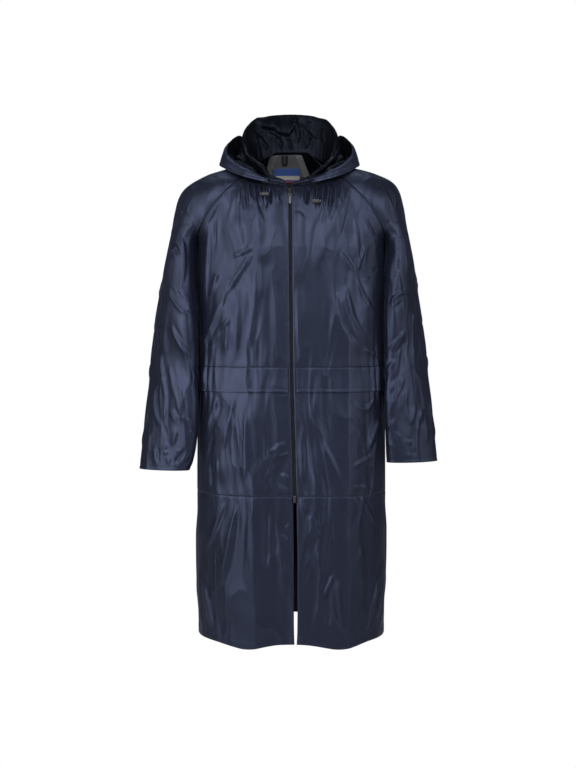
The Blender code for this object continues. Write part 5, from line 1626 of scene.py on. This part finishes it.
Lamp = namedtuple("Lamp", "name place aim size share setting tint", defaults=[(1, 1, 1)])
LAMPS = [                               # each has a share of its setting's power
    Lamp("left high", (-1.1, -1.2, 0.15), (0, 0, -0.4), (0.9, 1.2), 0.38, "key_light"),
    Lamp("left low", (-1.0, -1.2, -0.5), (0, 0, -0.6), (0.9, 1.0), 0.62, "key_light"),
    Lamp("front high", (0, -1.5, 1.5), (0, 0, -0.3), (1.0, 1.0), 0.28, "front_light"),
    Lamp("front", (-0.35, -2.2, 1.0), (0, 0, -0.4), (1.0, 0.6), 0.72, "front_light"),
    Lamp("right high", (1.5, -1.6, 0.5), (0, 0, -0.3), (1.0, 1.2), 0.8, "fill_light"),
    Lamp("right low", (1.2, -1.4, -0.5), (0, 0, -0.6), (0.9, 1.0), 0.2, "fill_light"),
    Lamp("left side", (-1.6, -0.5, 0.2), (0, 0, -0.4), (0.8, 1.6), 0.6, "side_light"),
    Lamp("right side", (1.6, -0.4, 0.0), (0, 0, -0.4), (0.8, 1.6), 0.4, "side_light"),
    Lamp("top", (0.0, 0.9, 1.9), (0, 0, -0.3), (1.6, 0.9), 1.0, "top_light", (0.68, 0.80, 1.0)),
]
ROOM_TINT = (0.86, 0.90, 1.0)
CAMERA_PLACE = (-0.0077, -3.0, -0.389)
LENS, LENS_SHIFT = 59.58, -0.0703
FLOOR_HALF = 8.0


def place_object(name, data):
    made = bpy.data.objects.new(name, data)
    bpy.context.scene.collection.objects.link(made)
    return made


def make_camera():
    lens = bpy.data.cameras.new("camera")
    lens.sensor_width = 36
    lens.lens = LENS
    lens.shift_y = LENS_SHIFT
    camera = place_object("camera", lens)
    camera.location = CAMERA_PLACE
    camera.rotation_euler = (math.radians(90), 0, 0)
    bpy.context.scene.camera = camera


def white_to_camera(tree, lit, white, surface):
    """The camera sees plain white, and the rest of the scene sees the lit shader."""
    seen = add_node(tree, "LightPath", output="Is Camera Ray")
    feed(surface, add_node(tree, "MixShader", sockets=(seen, Maths(tree, lit), white)))


def make_floor():
    ground = Finish("pale floor", roughness=0.8)
    ground.give(base_color=ground.between((0.78,) * 3, (0.84,) * 3, ground.clouds(3.0)))
    ground.bump(ground.clouds(50.0), 0.4 * MM)
    white_to_camera(ground.tree, ground.shader.outputs["BSDF"], ground.node("Emission"),
                    ground.tree.nodes["Material Output"].inputs["Surface"])

    plane = bmesh.new()
    bmesh.ops.create_grid(plane, x_segments=1, y_segments=1, size=FLOOR_HALF,
                          matrix=Matrix.Translation((0, 0, FLOOR_Z)))
    mesh = bpy.data.meshes.new("floor")
    plane.to_mesh(mesh)
    plane.free()
    mesh.materials.append(FINISHES["pale floor"])
    place_object("floor", mesh)


def make_lamp(lamp):
    """A soft light that the camera doesn't see."""
    light = bpy.data.lights.new(lamp.name, "AREA")
    light.shape = "RECTANGLE"
    light.size, light.size_y = lamp.size
    light.energy = lamp.share * getattr(settings(), lamp.setting)
    light.color = lamp.tint
    made = place_object(lamp.name, light)
    made.location = lamp.place
    made.rotation_euler = (Vector(lamp.place) - Vector(lamp.aim)).to_track_quat("Z", "Y").to_euler()
    made.visible_camera = False


def make_stage():
    make_floor()
    for lamp in LAMPS:
        make_lamp(lamp)
    world = bpy.data.worlds.new("studio")
    bpy.context.scene.world = world
    world.use_nodes = True
    tree = world.node_tree
    sky = tree.nodes["Background"]
    feed(sky.inputs["Color"], (*ROOM_TINT, 1))
    feed(sky.inputs["Strength"], settings().room_light)
    white = add_node(tree, "Background", sockets={"Color": (1, 1, 1, 1)})
    white_to_camera(tree, sky.outputs["Background"], white, tree.nodes["World Output"].inputs["Surface"])
    bpy.context.scene.view_settings.view_transform = "Standard"


# ---------------------------------------------------------------- settings, operators and panel

class RaincoatSettings(bpy.types.PropertyGroup):
    nylon: bpy.props.FloatVectorProperty(
        name="Nylon", description="Colour of the coat's cloth", subtype="COLOR", size=3, min=0, max=1,
        default=(0.0062, 0.0072, 0.0140))
    gloss: bpy.props.FloatProperty(
        name="Gloss", description="How strongly the nylon reflects", default=0.85, min=0, max=1,
        subtype="FACTOR")
    cell: bpy.props.FloatProperty(
        name="Cell", description="Size of the cloth's mesh cells", default=3.8 * MM, min=2 * MM,
        max=20 * MM, unit="LENGTH")
    key_light: bpy.props.FloatProperty(
        name="Key lights", description="Power of the two lights from the wearer's right", default=13,
        min=0, unit="POWER")
    front_light: bpy.props.FloatProperty(
        name="Front lights", description="Power of the two lights from the front", default=23,
        min=0, unit="POWER")
    fill_light: bpy.props.FloatProperty(
        name="Fill lights", description="Power of the two lights from the wearer's left", default=16,
        min=0, unit="POWER")
    side_light: bpy.props.FloatProperty(
        name="Side lights", description="Power of the two lights beside the coat", default=8,
        min=0, unit="POWER")
    top_light: bpy.props.FloatProperty(
        name="Top light", description="Power of the light from above and behind", default=6,
        min=0, unit="POWER")
    room_light: bpy.props.FloatProperty(
        name="Room light", description="Strength of the light from all round", default=0.055, min=0)


def settings():
    return bpy.context.scene.raincoat


class RAINCOAT_OT_camera(bpy.types.Operator):
    """Place the camera in front of the coat"""
    bl_idname = "raincoat.camera"
    bl_label = "Camera"

    def execute(self, context):
        make_camera()
        return {"FINISHED"}


class RAINCOAT_OT_finishes(bpy.types.Operator):
    """Make the cloth, tape, metal and plastic finishes"""
    bl_idname = "raincoat.finishes"
    bl_label = "Finishes"

    def execute(self, context):
        make_finishes()
        return {"FINISHED"}


class RAINCOAT_OT_drawcords(bpy.types.Operator):
    """Braid the two drawcord ends"""
    bl_idname = "raincoat.drawcords"
    bl_label = "Drawcords"

    def execute(self, context):
        make_drawcords()
        return {"FINISHED"}


class RAINCOAT_OT_body(bpy.types.Operator):
    """Lay the fronts and the back in their three widths"""
    bl_idname = "raincoat.body"
    bl_label = "Fronts and back"

    def execute(self, context):
        make_body()
        return {"FINISHED"}


class RAINCOAT_OT_waist_flaps(bpy.types.Operator):
    """Hang the flaps from the waist seam"""
    bl_idname = "raincoat.waist_flaps"
    bl_label = "Waist flaps"

    def execute(self, context):
        make_waist_flaps()
        return {"FINISHED"}


class RAINCOAT_OT_sleeves(bpy.types.Operator):
    """Lay the two raglan sleeves"""
    bl_idname = "raincoat.sleeves"
    bl_label = "Sleeves"

    def execute(self, context):
        make_sleeves()
        return {"FINISHED"}


class RAINCOAT_OT_hood(bpy.types.Operator):
    """Lay the gathered hood and its casing"""
    bl_idname = "raincoat.hood"
    bl_label = "Hood"

    def execute(self, context):
        make_hood()
        return {"FINISHED"}


class RAINCOAT_OT_neck(bpy.types.Operator):
    """Line the neck with mesh, label and hanger loop"""
    bl_idname = "raincoat.neck"
    bl_label = "Neck inside"

    def execute(self, context):
        make_neck()
        return {"FINISHED"}


class RAINCOAT_OT_zip(bpy.types.Operator):
    """Lay the zip's tapes and teeth"""
    bl_idname = "raincoat.zip"
    bl_label = "Zip"

    def execute(self, context):
        make_zip()
        return {"FINISHED"}


class RAINCOAT_OT_fittings(bpy.types.Operator):
    """Finish the slider, tab, bottom box, eyelets and cord locks"""
    bl_idname = "raincoat.fittings"
    bl_label = "Fittings"

    def execute(self, context):
        make_fittings()
        return {"FINISHED"}


class RAINCOAT_OT_stitching(bpy.types.Operator):
    """Sew the seams, edges and hems of the laid pieces"""
    bl_idname = "raincoat.stitching"
    bl_label = "Stitching"

    def execute(self, context):
        if not LAID:
            raise RuntimeError("lay the cloth before it is stitched")
        make_stitching()
        return {"FINISHED"}


class RAINCOAT_OT_stage(bpy.types.Operator):
    """Set the floor, the lights and the white surround"""
    bl_idname = "raincoat.stage"
    bl_label = "Stage"

    def execute(self, context):
        make_stage()
        return {"FINISHED"}


OPERATORS = (
    RAINCOAT_OT_camera, RAINCOAT_OT_finishes, RAINCOAT_OT_drawcords, RAINCOAT_OT_body,
    RAINCOAT_OT_waist_flaps, RAINCOAT_OT_sleeves, RAINCOAT_OT_hood, RAINCOAT_OT_neck,
    RAINCOAT_OT_zip, RAINCOAT_OT_fittings, RAINCOAT_OT_stitching, RAINCOAT_OT_stage,
)


class RAINCOAT_PT_panel(bpy.types.Panel):
    """Sizes, colours and steps of the raincoat"""
    bl_label = "Raincoat"
    bl_idname = "RAINCOAT_PT_panel"
    bl_space_type = "VIEW_3D"
    bl_region_type = "UI"
    bl_category = "Raincoat"

    def draw(self, context):
        for name in RaincoatSettings.__annotations__:
            self.layout.prop(context.scene.raincoat, name)
        for step in OPERATORS:
            self.layout.operator(step.bl_idname)


CLASSES = (RaincoatSettings,) + OPERATORS + (RAINCOAT_PT_panel,)


def register():
    for each in CLASSES:
        bpy.utils.register_class(each)
    bpy.types.Scene.raincoat = bpy.props.PointerProperty(type=RaincoatSettings)


def unregister():
    del bpy.types.Scene.raincoat
    for each in reversed(CLASSES):
        bpy.utils.unregister_class(each)


def main():
    register()
    for step in OPERATORS:
        group, name = step.bl_idname.split(".")
        getattr(getattr(bpy.ops, group), name)()


if __name__ == "__main__":
    main()
